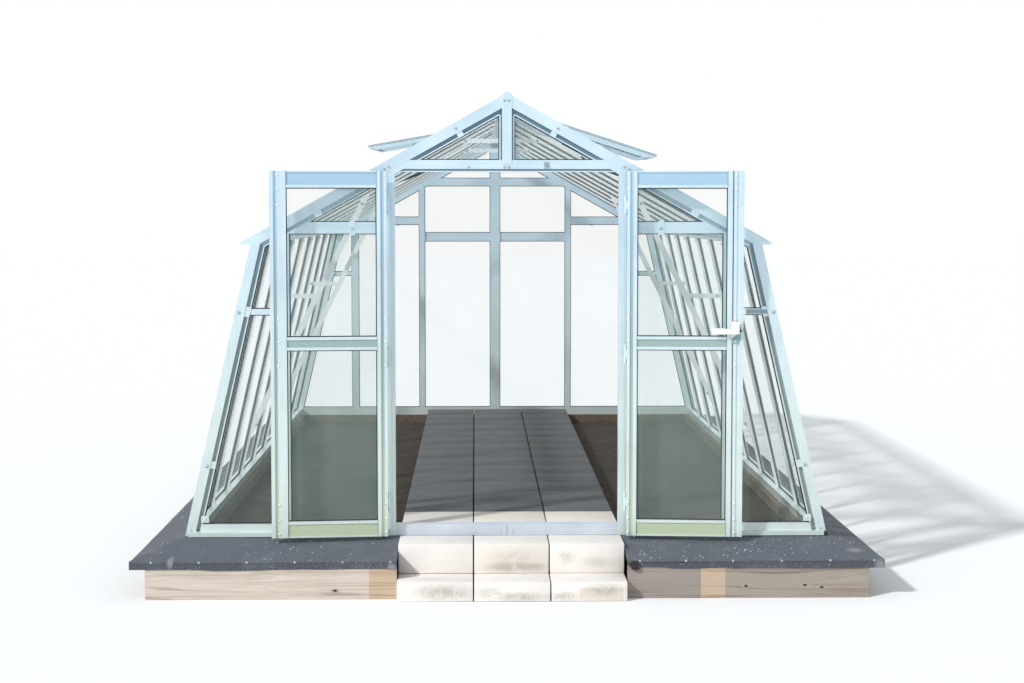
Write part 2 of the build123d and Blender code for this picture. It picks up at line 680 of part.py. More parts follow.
def leaf_frame():
    frame = block(LEAF_START, LEAF_END, LEAF_FRONT, LEAF_BACK, LEAF_Z, LEAF_TOP)
    for x0, x1, z0, z1 in leaf_windows():
        frame -= block(x0, x1, LEAF_FRONT, LEAF_BACK, z0, z1)
    channels = [LEAF_START + STILE_WIDTH - CHANNEL_MARGIN - CHANNEL_WIDTH,
                LEAF_END - CHANNEL_MARGIN - CHANNEL_WIDTH]
    lower, upper = leaf_windows()
    webs = ((LEAF_Z + RAIL_FLANGE / 2, lower[2] - RAIL_FLANGE),
            (lower[3] + RAIL_FLANGE, upper[2] - RAIL_FLANGE),
            (upper[3] + RAIL_FLANGE, LEAF_TOP - RAIL_FLANGE / 2))
    for y0, y1 in ((LEAF_FRONT, LEAF_FRONT + CHANNEL_DEPTH), (LEAF_BACK - CHANNEL_DEPTH, LEAF_BACK)):
        for x0 in channels:
            frame -= block(x0, x0 + CHANNEL_WIDTH, y0, y1, LEAF_Z, LEAF_TOP)
        for z0, z1 in webs:
            frame -= block(lower[0], lower[1], y0, y1, z0, z1)
    return frame


def leaf_panes():
    y0 = (LEAF_FRONT + LEAF_BACK - GLASS) / 2
    return [block(x0, x1, y0, y0 + GLASS, z0, z1) for x0, x1, z0, z1 in leaf_windows()]


def door_knuckle(z):
    """Knuckle of the leaf with its strap."""
    barrel = Pos(0, 0, z) * Cylinder(KNUCKLE_RADIUS, KNUCKLE_LENGTH)
    strap = block(HINGE_ARM[0], LEAF_START, 0, STRAP_DEPTH,
                  z - KNUCKLE_LENGTH / 2, z + KNUCKLE_LENGTH / 2)
    bore = Pos(0, 0, z) * Cylinder(PIN_RADIUS + PIN_CLEARANCE, 2 * KNUCKLE_LENGTH)
    return barrel + strap - bore


def hinge_pin(z):
    """Pin with the two outer knuckles and their arms back to the jamb."""
    piece = Pos(0, 0, z) * Cylinder(PIN_RADIUS, KNUCKLE_LENGTH + 2 * PIN_KNUCKLE_LENGTH)
    for side in (-1, 1):
        middle = z + side * (KNUCKLE_LENGTH / 2 + KNUCKLE_GAP + PIN_KNUCKLE_LENGTH / 2)
        piece += Pos(0, 0, middle) * Cylinder(KNUCKLE_RADIUS, PIN_KNUCKLE_LENGTH)
        piece += block(-HINGE_ARM[1], -HINGE_ARM[0], 0, HINGE_REACH,
                       middle - PIN_KNUCKLE_LENGTH / 2, middle + PIN_KNUCKLE_LENGTH / 2)
    return Pos(-HINGE_X, FRONT - HINGE_REACH, 0) * piece


def handle_side(face_y, outward):
    """Plate and lever on one face of the leaf."""
    x = LEAF_END - HANDLE_INSET
    z = FOOT_Z + HANDLE_RISE
    span = sorted((face_y, face_y + outward * PLATE_THICK))
    plate = block(x - PLATE_WIDTH / 2, x + PLATE_WIDTH / 2, span[0], span[1],
                  z - PLATE_HEIGHT / 2, z + PLATE_HEIGHT / 2)
    boss_span = PLATE_THICK + LEVER_STANDOFF
    boss = Pos(x, face_y + outward * boss_span / 2, z) * Rot(90, 0, 0) * Cylinder(SPINDLE_RADIUS, boss_span)
    near = face_y + outward * (boss_span - LEVER_THICK)
    grip = sorted((near, face_y + outward * boss_span))
    lever = block(x - LEVER_LENGTH, x + SPINDLE_RADIUS, grip[0], grip[1],
                  z - LEVER_HEIGHT / 2, z + LEVER_HEIGHT / 2)
    lever = fillet(lever.edges().filter_by(Axis.Y), LEVER_HEIGHT / 3)
    return plate + boss + lever


def door_handle():
    return [handle_side(LEAF_FRONT, -1), handle_side(LEAF_BACK, 1)]


# Base

def ledge_outline(run, overhang):
    """Section of a felted ledge: distance out from the wall and height."""
    def soffit(out):
        return FOOT_Z - LEDGE_THICK - LEDGE_FALL * out / run
    board = run - FASCIA_THICK
    plank_face = run - overhang
    plank_back = plank_face - PLANK_THICK
    outline = [(0, FOOT_Z), (run, FOOT_Z - LEDGE_FALL), (run, FASCIA_BOTTOM), (board, FASCIA_BOTTOM)]
    if overhang > FASCIA_THICK:
        outline += [(board, soffit(board)), (plank_face, soffit(plank_face))]
    outline += [(plank_face, PLANK_HEIGHT), (plank_back, PLANK_HEIGHT),
                (plank_back, soffit(plank_back)), (0, FOOT_Z - LEDGE_THICK)]
    return outline


def front_ledge():
    section = [(FRONT - out, z) for out, z in ledge_outline(FRONT_LEDGE, FRONT_OVERHANG)]
    pieces = []
    for end, side in ((LEDGE_LEFT_END, -1), (LEDGE_RIGHT_END, 1)):
        corner = side * FOOT_X
        outer = side * (FOOT_X + SIDE_LEDGE)
        plan = [(end, FRONT), (corner, FRONT), (outer, FRONT - FRONT_LEDGE), (end, FRONT - FRONT_LEDGE)]
        run = side_prism(section, min(end, outer), max(end, outer))
        pieces.append(run & plan_prism(plan, 0, FOOT_Z))
    return pieces


def side_ledge():
    section = [(FOOT_X + out, z) for out, z in ledge_outline(SIDE_LEDGE, SIDE_OVERHANG)]
    outer = FOOT_X + SIDE_LEDGE
    plan = [(FOOT_X, FRONT), (outer, FRONT - FRONT_LEDGE), (outer, REAR + SIDE_LEDGE), (FOOT_X, REAR)]
    run = prism(section, FRONT - FRONT_LEDGE, REAR + SIDE_LEDGE)
    return both(run & plan_prism(plan, 0, FOOT_Z))


def rear_ledge():
    section = [(REAR + out, z) for out, z in ledge_outline(SIDE_LEDGE, SIDE_OVERHANG)]
    outer = FOOT_X + SIDE_LEDGE
    plan = [(-FOOT_X, REAR), (FOOT_X, REAR), (outer, REAR + SIDE_LEDGE), (-outer, REAR + SIDE_LEDGE)]
    return side_prism(section, -outer, outer) & plan_prism(plan, 0, FOOT_Z)


PLANK_X = FOOT_X + SIDE_LEDGE - SIDE_OVERHANG
FRONT_PLANK_Y = FRONT - FRONT_LEDGE + FRONT_OVERHANG
REAR_PLANK_Y = REAR + SIDE_LEDGE - SIDE_OVERHANG


def front_planks():
    y1 = FRONT_PLANK_Y + PLANK_THICK
    return [block(-PLANK_X, LEDGE_LEFT_END, FRONT_PLANK_Y, y1, 0, PLANK_HEIGHT),
            block(LEDGE_RIGHT_END, PLANK_X, FRONT_PLANK_Y, y1, 0, PLANK_HEIGHT)]


def side_planks():
    return both(block(PLANK_X - PLANK_THICK, PLANK_X, FRONT_PLANK_Y + PLANK_THICK,
                      REAR_PLANK_Y - PLANK_THICK, 0, PLANK_HEIGHT))


def rear_plank():
    return block(-PLANK_X, PLANK_X, REAR_PLANK_Y - PLANK_THICK, REAR_PLANK_Y, 0, PLANK_HEIGHT)


BED_X = FOOT_X - BEARER_WIDTH
BED_FRONT = FRONT + BEARER_WIDTH
BED_REAR = REAR - BEARER_WIDTH


def side_bearers():
    return both(block(BED_X, FOOT_X, FRONT, REAR, 0, FOOT_Z))


def end_bearers():
    return [block(-BED_X, BED_X, FRONT, BED_FRONT, 0, FOOT_Z),
            block(-BED_X, BED_X, BED_REAR, REAR, 0, FOOT_Z)]


def bed_fill():
    return block(-BED_X, BED_X, BED_FRONT, BED_REAR, 0, BED_TOP)


PAVING_FRONT = FRONT + BEARER_WIDTH
AISLE_FRONT = PAVING_FRONT + SLAB_LENGTH


def doorway_paving():
    return block(PAVING_LEFT, PAVING_RIGHT, PAVING_FRONT, AISLE_FRONT - PAVING_GAP, BED_TOP, PAVING_TOP)


def aisle_paving():
    return block(PAVING_LEFT, PAVING_RIGHT, AISLE_FRONT, BED_REAR, BED_TOP, PAVING_TOP)


def step_course(depth, z0, z1):
    course = []
    for number in range(BLOCKS):
        x0 = STEP_LEFT + number * (BLOCK_LENGTH + BLOCK_JOINT)
        stone = block(x0, x0 + BLOCK_LENGTH, FRONT - depth, FRONT, z0, z1)
        course.append(chamfer(stone.edges().filter_by(Axis.X).group_by(Axis.Y)[0].group_by(Axis.Z)[-1],
                              BLOCK_CHAMFER))
    return course


os.makedirs("parts", exist_ok=True)

save("front_planks", front_planks())
save("side_planks", side_planks())
save("rear_plank", [rear_plank()])
save("bearers", side_bearers() + end_bearers())
save("bed_fill", [bed_fill()])
save("front_ledge", front_ledge())
save("side_ledge", side_ledge())
save("rear_ledge", [rear_ledge()])
save("lower_step", step_course(LOWER_STEP_DEPTH, 0, LOWER_STEP_HEIGHT))
save("upper_step", step_course(UPPER_STEP_DEPTH, LOWER_STEP_HEIGHT, FOOT_Z))
save("doorway_paving", [doorway_paving()])
save("aisle_paving", [aisle_paving()])

save("gable_sills", both(gable_sill(JAMB_OUTER_X, False)) + [rear_sill()])
save("threshold", threshold())
save("side_sills", both(side_sill()))
save("gable_posts", both(post(False)) + both(post(True)))
save("gable_rafters", both(rafter(False)) + both(rafter(True)))
save("tie_beams", [tie_beam(False), tie_beam(True)])
save("king_posts", [king_post(False), king_post(True)])
save("front_jambs", both(jamb()))
save("side_mullions", both(side_mullion(False)) + both(side_mullion(True)))
save("rear_mullions", both(rear_mullion()) + [rear_centre_post()])
save("front_rails", [piece for rail in side_rails(False) for piece in both(rail)])
save("rear_rails", [piece for rail in side_rails(True) for piece in both(rail)] + rear_transoms())
save("ridge", [ridge()])
save("eaves", both(eave()))
inner_bars = range(1, BAYS)
save("left_wall_bars", [flip(wall_bar(number)) for number in inner_bars])
save("right_wall_bars", [wall_bar(number) for number in inner_bars])
save("left_roof_bars", [flip(roof_bar(number)) for number in inner_bars])
save("right_roof_bars", [roof_bar(number) for number in inner_bars])
save("knee_braces", [piece for number in BRACED_BARS for piece in both(knee_brace(number))])
save("collar_ties", [collar_tie(number) for number in BRACED_BARS])
save("left_wall_glass", [flip(pane) for pane in wall_panes()])
save("right_wall_glass", wall_panes())
save("left_roof_glass", [flip(pane) for pane in roof_panes(LEFT_VENT_BAY)])
save("right_roof_glass", roof_panes(RIGHT_VENT_BAY))
save("front_glass", gable_glass(False))
save("rear_glass", gable_glass(True))

vents = ((LEFT_VENT_BAY, ROOF_ANGLE - LEFT_VENT_OPENING, True),
         (RIGHT_VENT_BAY, ROOF_ANGLE - RIGHT_VENT_OPENING, False))
save("vent_trimmers", [flip(trimmer(bay)) if left else trimmer(bay) for bay, tilt, left in vents])
save("vent_frames", [flip(vent_frame(bay, tilt)) if left else vent_frame(bay, tilt)
                     for bay, tilt, left in vents])
save("vent_glass", [flip(vent_pane(bay, tilt)) if left else vent_pane(bay, tilt)
                    for bay, tilt, left in vents])
save("vent_stays", [flip(vent_stay(bay, tilt)) if left else vent_stay(bay, tilt)
                    for bay, tilt, left in vents])

save("hinge_pins", [piece for z in HINGE_LEVELS for piece in both(hinge_pin(z))])
left_frame = open_left(leaf_frame())
left_panes = [open_left(pane) for pane in leaf_panes()]
left_knuckles = [open_left(door_knuckle(z)) for z in HINGE_LEVELS]
left_handle = [open_left(piece) for piece in door_handle()]
save("left_door_frame", [left_frame])
save("left_door_glass", left_panes)
save("left_door_knuckles", left_knuckles)
save("right_door_frame", [flip(left_frame)])
save("right_door_glass", [flip(pane) for pane in left_panes])
save("right_door_knuckles", [flip(knuckle) for knuckle in left_knuckles])
save("right_door_handle", [flip(piece) for piece in left_handle])
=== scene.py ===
import random
from math import atan, cos, hypot, pi, radians, sin

import bmesh
import bpy
from mathutils import Matrix, Vector, noise


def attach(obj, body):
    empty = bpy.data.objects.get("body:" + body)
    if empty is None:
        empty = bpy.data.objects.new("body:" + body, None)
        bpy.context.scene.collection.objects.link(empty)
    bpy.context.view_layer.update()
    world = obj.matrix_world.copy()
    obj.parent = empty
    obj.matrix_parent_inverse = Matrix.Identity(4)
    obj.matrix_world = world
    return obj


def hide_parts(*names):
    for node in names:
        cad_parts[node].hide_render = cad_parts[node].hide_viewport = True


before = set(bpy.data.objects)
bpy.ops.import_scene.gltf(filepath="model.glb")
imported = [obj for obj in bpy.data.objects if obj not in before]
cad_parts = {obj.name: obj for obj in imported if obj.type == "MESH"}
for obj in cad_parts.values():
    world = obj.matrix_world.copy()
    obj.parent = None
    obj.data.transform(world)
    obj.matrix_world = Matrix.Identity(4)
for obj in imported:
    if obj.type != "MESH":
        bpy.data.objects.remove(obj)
scene = bpy.context.scene
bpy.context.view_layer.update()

# Sizes of the solids, in metres, as in the part's source
BAYS = 9
BAY = 0.61
FRONT = -BAYS * BAY / 2
REAR = -FRONT
FOOT_X = 1.55
EAVE_X = 1.215
FOOT_Z = 0.236
EAVE_Z = 1.679
RIDGE_Z = 2.357
LEAN = (FOOT_X - EAVE_X) / (EAVE_Z - FOOT_Z)
SLOPE = (RIDGE_Z - EAVE_Z) / EAVE_X
LEAN_STRETCH = hypot(1, LEAN)
SLOPE_STRETCH = hypot(1, SLOPE)
ROOF_ANGLE = atan(SLOPE)
GABLE_DEPTH = 0.045
CHANNEL_FLOOR = 0.02
POST_BODY = 0.069
RAFTER_FLANGE = 0.05
RAFTER_BODY = 0.074
KING_EDGE = 0.036
JAMB_INNER_X = 0.536
JAMB_OUTER_X = 0.576
GABLE_SILL_TOP = FOOT_Z + 0.056
GABLE_GLASS = (0.0225, 0.0265)
BAR_WEB = 0.004
BAR_CAP_END = 0.017
BAR_DEPTH = 0.042
PANE_OUT = 0.02
PANE_IN = 0.024
SIDE_SILL_TOP = FOOT_Z + 0.05
EAVE_BEAM_BOTTOM = EAVE_Z - 0.045
EAVE_BEAM_INNER_X = EAVE_X - 0.05
RIDGE_HALF = 0.04
VENT_LENGTH = 0.764
VENT_THICK = 0.036
VENT_RAIL = 0.028
VENT_FOOT_RAIL = 0.042
HINGE_X = 0.565
HINGE_REACH = 0.04
DOOR_OPEN = radians(175)
LEAF_START = 0.008
LEAF_END = 0.56
LEAF_FRONT = 0.006
LEAF_BACK = 0.034
LEAF_Z = FOOT_Z + 0.008


def wall_x(z, inset=0.0):
    return FOOT_X - (z - FOOT_Z) * LEAN - inset * LEAN_STRETCH


def roof_z(x, inset=0.0):
    return RIDGE_Z - abs(x) * SLOPE - inset * SLOPE_STRETCH


def roof_x(z, inset=0.0):
    return (RIDGE_Z - inset * SLOPE_STRETCH - z) / SLOPE


def eave_point(wall_inset, roof_inset):
    drop = RIDGE_Z - FOOT_Z - roof_inset * SLOPE_STRETCH
    x = (FOOT_X - drop * LEAN - wall_inset * LEAN_STRETCH) / (1 - SLOPE * LEAN)
    return (x, roof_z(x, roof_inset))


TIE_BOTTOM = roof_z(JAMB_INNER_X, RAFTER_BODY) + 0.01
TIE_TOP = TIE_BOTTOM + 0.057
TRANSOM_BOTTOM = EAVE_Z + 0.011
TRANSOM_TOP = TRANSOM_BOTTOM + 0.055
MULLION_INNER_X = roof_x(TRANSOM_BOTTOM, RAFTER_BODY) - 0.003
MULLION_OUTER_X = MULLION_INNER_X + 0.05
MIDRAIL_BOTTOM = FOOT_Z + 1.066
MIDRAIL_TOP = MIDRAIL_BOTTOM + 0.028
REAR_TRANSOM_BOTTOM = EAVE_Z - 0.115
REAR_TRANSOM_TOP = REAR_TRANSOM_BOTTOM + 0.063
LEAF_TOP = TIE_BOTTOM + 0.004
LEAF_FACES = ((LEAF_BACK, 1), (LEAF_FRONT, -1))
DOORS = ((-1, "left_door"), (1, "right_door"))


# Materials

class Nodes:
    """Adds nodes to the tree of a material or world."""

    def __init__(self, owner):
        owner.use_nodes = True
        self.tree = owner.node_tree

    def connect(self, node, inputs):
        """Links the inputs that are given a socket and sets the others."""
        for key, value in inputs.items():
            if isinstance(value, bpy.types.NodeSocket):
                self.tree.links.new(value, node.inputs[key])
            else:
                node.inputs[key].default_value = value

    def add(self, kind, inputs, **settings):
        node = self.tree.nodes.new("ShaderNode" + kind)
        for key, value in settings.items():
            setattr(node, key, value)
        self.connect(node, inputs)
        return node

    def maths(self, operation, *values, kind="Math", output=0):
        return self.add(kind, dict(enumerate(values)), operation=operation).outputs[output]

    def vectors(self, operation, *values, output=0):
        return self.maths(operation, *values, kind="VectorMath", output=output)


class Finish(Nodes):
    """A material built up in layers, each shown where its masks, sockets or numbers, are 1."""

    def __init__(self, name, **sockets):
        self.material = bpy.data.materials.new(name)
        super().__init__(self.material)
        self.bsdf = self.tree.nodes["Principled BSDF"]
        self.connect(self.bsdf, {key.replace("_", " "): value for key, value in sockets.items()})

    def grain(self, scale, detail=4, roughness=0.5, distortion=0, stretch=(1, 1, 1)):
        inputs = {"Vector": self.place(stretch), "Scale": scale, "Detail": detail,
                  "Roughness": roughness, "Distortion": distortion}
        return self.add("TexNoise", inputs).outputs["Fac"]

    def place(self, scale=(1, 1, 1)):
        """Object coordinates, scaled."""
        source = self.add("TexCoord", {}).outputs["Object"]
        return self.add("Mapping", {"Vector": source, "Scale": scale}).outputs["Vector"]

    def ramp(self, factor, *stops):
        """Colour ramp; each stop is a place from 0 to 1 and a colour or a grey."""
        node = self.add("ValToRGB", {"Fac": factor})
        elements = node.color_ramp.elements
        while len(elements) < len(stops):
            elements.new(0.5)
        for element, (position, colour) in zip(elements, stops):
            element.position = position
            element.color = (*colour, 1) if isinstance(colour, tuple) else (colour, colour, colour, 1)
        return node.outputs["Color"]

    def times(self, first, *others):
        for other in others:
            first = self.maths("MULTIPLY", first, other)
        return first

    def along(self, direction):
        """How far a point lies along a direction."""
        return self.vectors("DOT_PRODUCT", self.place(), direction, output="Value")

    def fade(self, value, start, end):
        """0 before start and 1 after end; the other way round when start is larger."""
        inputs = {"Value": value, "From Min": start, "From Max": end}
        return self.add("MapRange", inputs, interpolation_type="SMOOTHSTEP").outputs["Result"]

    def between(self, direction, start, end, soft):
        """1 between two places along a direction, fading out at both."""
        where = self.along(direction)
        return self.times(self.fade(where, start - soft, start + soft),
                          self.fade(where, end + soft, end - soft))

    def by_height(self, stops):
        """Colour that changes with height; each stop gives a height in metres."""
        share = self.maths("DIVIDE", self.along(UP), RIDGE_Z)
        return self.ramp(share, *((z / RIDGE_Z, colour) for z, colour in stops))

    def spot(self, centre, radii, softness):
        """1 inside an ellipsoid, fading to 0 at its rim."""
        offset = self.vectors("DIVIDE", self.vectors("SUBTRACT", self.place(), centre), radii)
        return self.fade(self.vectors("LENGTH", offset, output="Value"), 1, 1 - softness)

    def lay(self, tint, *masks, blend="MIX"):
        """Lays a tint over the colour so far."""
        tint = tint if isinstance(tint, bpy.types.NodeSocket) else (*tint, 1)
        inputs = {0: self.times(*masks), 6: self.colour, 7: tint}
        self.colour = self.add("Mix", inputs, data_type="RGBA", blend_type=blend).outputs[2]

    def coat(self, roughness, relief, strength, distance):
        """Gives the surface the colour, a roughness and a relief."""
        bump = self.add("Bump", {"Height": relief, "Strength": strength, "Distance": distance})
        self.connect(self.bsdf, {"Base Color": self.colour, "Roughness": roughness,
                                 "Normal": bump.outputs["Normal"]})
        return self.material


def scaled(colour, share):
    return tuple(c * share for c in colour)


ACROSS, DEEP, UP = (1, 0, 0), (0, 1, 0), (0, 0, 1)
ALONG_X = (2, 240, 240)
ALONG_Y = (240, 2, 240)
ALONG_Z = (240, 240, 2)
DOWN_SLOPE = (4, 240, 4)
FLOOR_TOLERANCE = 0.0012


def floors(channels, strength):
    """Mask of the profiles' channel floors, where painted shade goes, each a direction and how far along it
    they lie.
    """
    def mask(f):
        total = 0
        for direction, distance in channels:
            floor = f.maths("COMPARE", f.along(direction), distance, FLOOR_TOLERANCE)
            total = f.maths("MAXIMUM", total, floor)
        return f.times(total, strength)
    return mask


def rafter_floors(f):
    """Channel floors of the rafters for painted shade, darkest near the ridge."""
    from_middle = f.maths("ABSOLUTE", f.along(ACROSS))
    return f.times(floors(gable_channels, 0.9)(f), f.ramp(from_middle, (0.4, 1), (0.58, 0.45)))


def level_floors(f):
    """Channel floors of the level rails, and the right mid rail's channel, where painted shade stands for the
    open right leaf's shadow.
    """
    height = f.along(UP)
    # Painted shadow of the open right leaf on the right mid rail
    rail = f.times(f.fade(f.along(ACROSS), 1.15, 1.152),
                   f.fade(height, MIDRAIL_BOTTOM + 0.003, MIDRAIL_BOTTOM + 0.004),
                   f.fade(height, MIDRAIL_TOP - 0.004, MIDRAIL_TOP - 0.005),
                   f.fade(f.along(DEEP), 0.1, 0), 0.75)
    return f.maths("MAXIMUM", floors(gable_channels, 0.8)(f), rail)


# Aluminium tones; the first two carry a painted reflection of sky at the roof and of grass near the ground
TONE_WITH_SKY_REFLECTION = ((0.52, 0.67, 0.77), (0.585, 0.735, 0.83), (0.64, 0.785, 0.87))
TONE_WITH_GRASS_REFLECTION = ((0.6, 0.69, 0.655), (0.665, 0.755, 0.72), (0.72, 0.805, 0.77))
# A paler copy of the aluminium, painted as if lit by sun
SUNLIT_PAINTED_TINTS = ((0.74, 0.8, 0.83), (0.82, 0.87, 0.89), (0.88, 0.92, 0.93))
COOL_TINTS = ((0.5, 0.56, 0.64), (0.58, 0.64, 0.72), (0.66, 0.72, 0.79))
TEAL_TINTS = ((0.16, 0.29, 0.3), (0.22, 0.37, 0.38), (0.28, 0.43, 0.44))


def aluminium(name, run, painted_channel_shade=None, tints=(TONE_WITH_GRASS_REFLECTION, TONE_WITH_SKY_REFLECTION), metallic=0.4):
    """Mill-finish aluminium with fine lines along the profile and faint clouding.

    tints are those near the ground and at the roof; by default they hold a painted reflection, greener low
    down from grass and bluer higher up from sky. The mask given with its colours by height paints shade into
    the channel floors.
    """
    f = Finish("aluminium_" + name, Metallic=metallic)
    lines = f.grain(1, 3, stretch=run)
    clouds = f.grain(4, 5, 0.58)
    f.colour, upper = (f.ramp(clouds, *zip((0.3, 0.52, 0.74), tones)) for tones in tints)
    # Painted reflection: bluer from the sky higher up
    f.lay(upper, f.fade(f.along(UP), 0.5, 1.9))
    f.lay(tuple(min(1, c) for c in scaled(tints[1][2], 1.12)), f.fade(lines, 0.42, 0.72), 0.5)
    f.lay(scaled(tints[0][1], 0.55), f.fade(f.grain(70, 3, 0.7), 0.69, 0.76), 0.35)
    # Painted shade in the channel floors
    if painted_channel_shade:
        mask, shades = painted_channel_shade
        f.lay(f.by_height(shades), mask(f))
    return f.coat(f.ramp(clouds, (0.3, 0.3), (0.7, 0.44)), lines, 0.1, 0.0004)


def timber(name, run, pale, dark, knots=(), patches=()):
    """Weathered board, its grain and shakes along one axis; patches are spans of X with a tint."""
    f = Finish("timber_" + name)

    def fibres(length, width, *texture):
        return f.grain(1, *texture, stretch=tuple(length if k == run else width for k in range(3)))

    coarse = fibres(1.3, 30, 7, 0.6, 0.9)
    fine = fibres(9, 420, 3)
    broad = f.grain(1.7, 3)
    f.colour = f.ramp(coarse, (0.3, dark), (0.5, pale), (0.68, scaled(pale, 1.12)))
    f.lay(scaled(dark, 0.62), f.fade(fine, 0.62, 0.4), 0.35)
    f.lay(scaled(pale, 0.86), f.fade(broad, 0.42, 0.68))
    from_shake = f.maths("ABSOLUTE", f.maths("SUBTRACT", fibres(0.7, 26, 1), 0.5))
    f.lay((0.62, 0.6, 0.6), f.fade(from_shake, 0.03, 0.006), f.fade(broad, 0.46, 0.6), blend="MULTIPLY")
    for start, end, tint in patches:
        f.lay(tint, f.between(ACROSS, start, end, 0.003), blend="MULTIPLY")
    for knot in knots:
        f.lay(scaled(pale, 0.55), f.spot(knot, (0.034, 0.05, 0.013), 0.7))
        f.lay((0.03, 0.02, 0.015), f.spot(knot, (0.014, 0.05, 0.008), 0.6))
    return f.coat(f.ramp(coarse, (0.3, 0.72), (0.7, 0.88)), f.maths("ADD", coarse, fine), 0.5, 0.0012)


def cast_concrete(name, pale, stain, stains=(), spread=0.5, tinted=()):
    """Cast concrete with pores and water stains.

    A stain is a point, its radii and how strong; a tinted part is its spans of X and Z and a colour.
    """
    f = Finish(name)
    clouds = f.grain(7, 6, 0.65)
    pores = f.grain(190, 3, 0.7)
    blotches = f.grain(22, 6, 0.7, 0.4)
    f.colour = f.ramp(clouds, (0.35, scaled(pale, 0.92)), (0.65, pale))
    f.lay(stain, f.fade(clouds, 0.52, 0.72), spread)
    for x0, x1, z0, z1, tint in tinted:
        f.lay(tint, f.between(ACROSS, x0, x1, 0.004), f.between(UP, z0, z1, 0.004))
    for centre, radii, strength in stains:
        area = f.spot(centre, radii, 0.95)
        f.lay(scaled(stain, 0.66), area, f.fade(blotches, 0.18, 0.62), strength * 0.8)
        f.lay(scaled(stain, 0.3), area, f.fade(pores, 0.57, 0.64), strength * 0.8)
    f.lay(scaled(stain, 0.6), f.fade(pores, 0.64, 0.74), 0.5)
    return f.coat(0.86, f.maths("ADD", pores, clouds), 0.35, 0.0012)


def roofing_felt():
    """Dark mineral felt with fine granules, pale specks and scuffs at its corners, and painted shade on its
    fascia and behind its curled flap.
    """
    f = Finish("felt")
    granules = f.grain(420, 2, 0.7)
    f.colour = f.ramp(granules, (0.3, (0.06, 0.067, 0.083)), (0.6, (0.128, 0.142, 0.17)),
                      (0.8, (0.22, 0.24, 0.27)))
    # Painted shade: the folded-down fascia is darker
    f.lay((0.68, 0.68, 0.68), f.fade(f.along(UP), 0.181, 0.17), blend="MULTIPLY")
    f.lay((0.19, 0.205, 0.235), f.fade(f.grain(5, 5, 0.6), 0.48, 0.75), 0.35)
    # Painted shade behind the curled flap
    f.lay((0.024, 0.022, 0.023), f.spot(FLAP_PAINTED_SHADE, (0.034, 0.012, 0.03), 0.3))
    for scale, size in ((45, 0.08), (80, 0.12), (150, 0.18)):
        cells = f.add("TexVoronoi", {"Scale": scale, "Vector": f.place()}).outputs
        chosen = f.maths("GREATER_THAN", cells["Color"], 0.66)
        f.lay((0.62, 0.64, 0.67), f.fade(cells["Distance"], size, size * 0.7), chosen)
    for centre, radii in FELT_SCUFFS:
        f.lay((0.42, 0.43, 0.45), f.spot(centre, radii, 0.8), f.fade(granules, 0.35, 0.6), 0.75)
    return f.coat(0.92, granules, 0.6, 0.0015)


def bare_soil():
    f = Finish("soil")
    clods = f.grain(34, 8, 0.7)
    f.colour = f.ramp(clods, (0.32, (0.02, 0.014, 0.01)), (0.55, (0.052, 0.037, 0.026)),
                      (0.75, (0.105, 0.08, 0.058)))
    f.lay((0.044, 0.034, 0.024), f.fade(f.grain(3, 4), 0.4, 0.7))
    return f.coat(0.97, clods, 0.9, 0.012)


def two_tone(name, texture, dark, pale, **sockets):
    """A colour that follows a grain; each tone is a stop of its ramp."""
    f = Finish(name, **sockets)
    f.connect(f.bsdf, {"Base Color": f.ramp(f.grain(*texture), dark, pale)})
    return f.material


def moulded(name, colour, roughness, scale, strength, distance):
    """Rubber or plastic with a fine relief."""
    f = Finish(name)
    f.colour = (*colour, 1)
    return f.coat(roughness, f.grain(scale), strength, distance)


FELT_SCUFFS = (
    ((-1.565, -3.11, 0.175), (0.022, 0.09, 0.045)),
    ((-0.54, -3.12, 0.15), (0.03, 0.03, 0.026)),
    ((1.735, -3.1, 0.155), (0.04, 0.07, 0.035)),
    ((1.64, -2.98, 0.19), (0.06, 0.05, 0.03)),
)
# Middle of the painted shade behind the curled flap
FLAP_PAINTED_SHADE = (0.588, -3.124, 0.154)
PLANK_Y = -3.11
KNOTS = ((-0.804, PLANK_Y, 0.04), (1.108, PLANK_Y, 0.055), (1.383, PLANK_Y, 0.0585),
         (1.4615, PLANK_Y, 0.048))
PATCHES = ((-0.646, -0.5, (0.86, 0.76, 0.62)), (0.5, 0.897, (0.5, 0.5, 0.51)),
           (0.897, 1.01, (0.84, 0.74, 0.62)), (1.01, 1.8, (0.56, 0.56, 0.55)))
UPPER_FACE_Y = -2.98
LOWER_FACE_Y = -3.183
STEP_STAINS = (
    ((0, UPPER_FACE_Y, 0.122), (0.17, 0.05, 0.038), 1),
    ((0.12, UPPER_FACE_Y, 0.125), (0.1, 0.05, 0.032), 0.8),
    ((0.02, UPPER_FACE_Y, 0.165), (0.2, 0.05, 0.07), 0.5),
    ((0.27, UPPER_FACE_Y, 0.17), (0.07, 0.05, 0.05), 0.6),
    ((0.42, UPPER_FACE_Y, 0.145), (0.12, 0.05, 0.04), 0.5),
    ((-0.31, LOWER_FACE_Y, 0.045), (0.2, 0.05, 0.055), 0.95),
    ((-0.36, LOWER_FACE_Y + 0.08, 0.093), (0.12, 0.06, 0.02), 0.5),
    ((-0.1, LOWER_FACE_Y, 0.045), (0.1, 0.05, 0.045), 0.55),
    ((0.04, LOWER_FACE_Y, 0.022), (0.2, 0.05, 0.034), 0.85),
    ((0.26, LOWER_FACE_Y, 0.024), (0.12, 0.05, 0.036), 0.8),
    ((0.44, LOWER_FACE_Y, 0.05), (0.14, 0.05, 0.045), 0.9),
)
STEP_TINTS = (
    (-0.157, 0.193, 0.1, 0.232, (0.8, 0.745, 0.68)),
    (0.33, 0.53, 0.004, 0.062, (0.74, 0.665, 0.59)),
)

gable_channels = ((DEEP, FRONT + CHANNEL_FLOOR), (DEEP, REAR - CHANNEL_FLOOR))


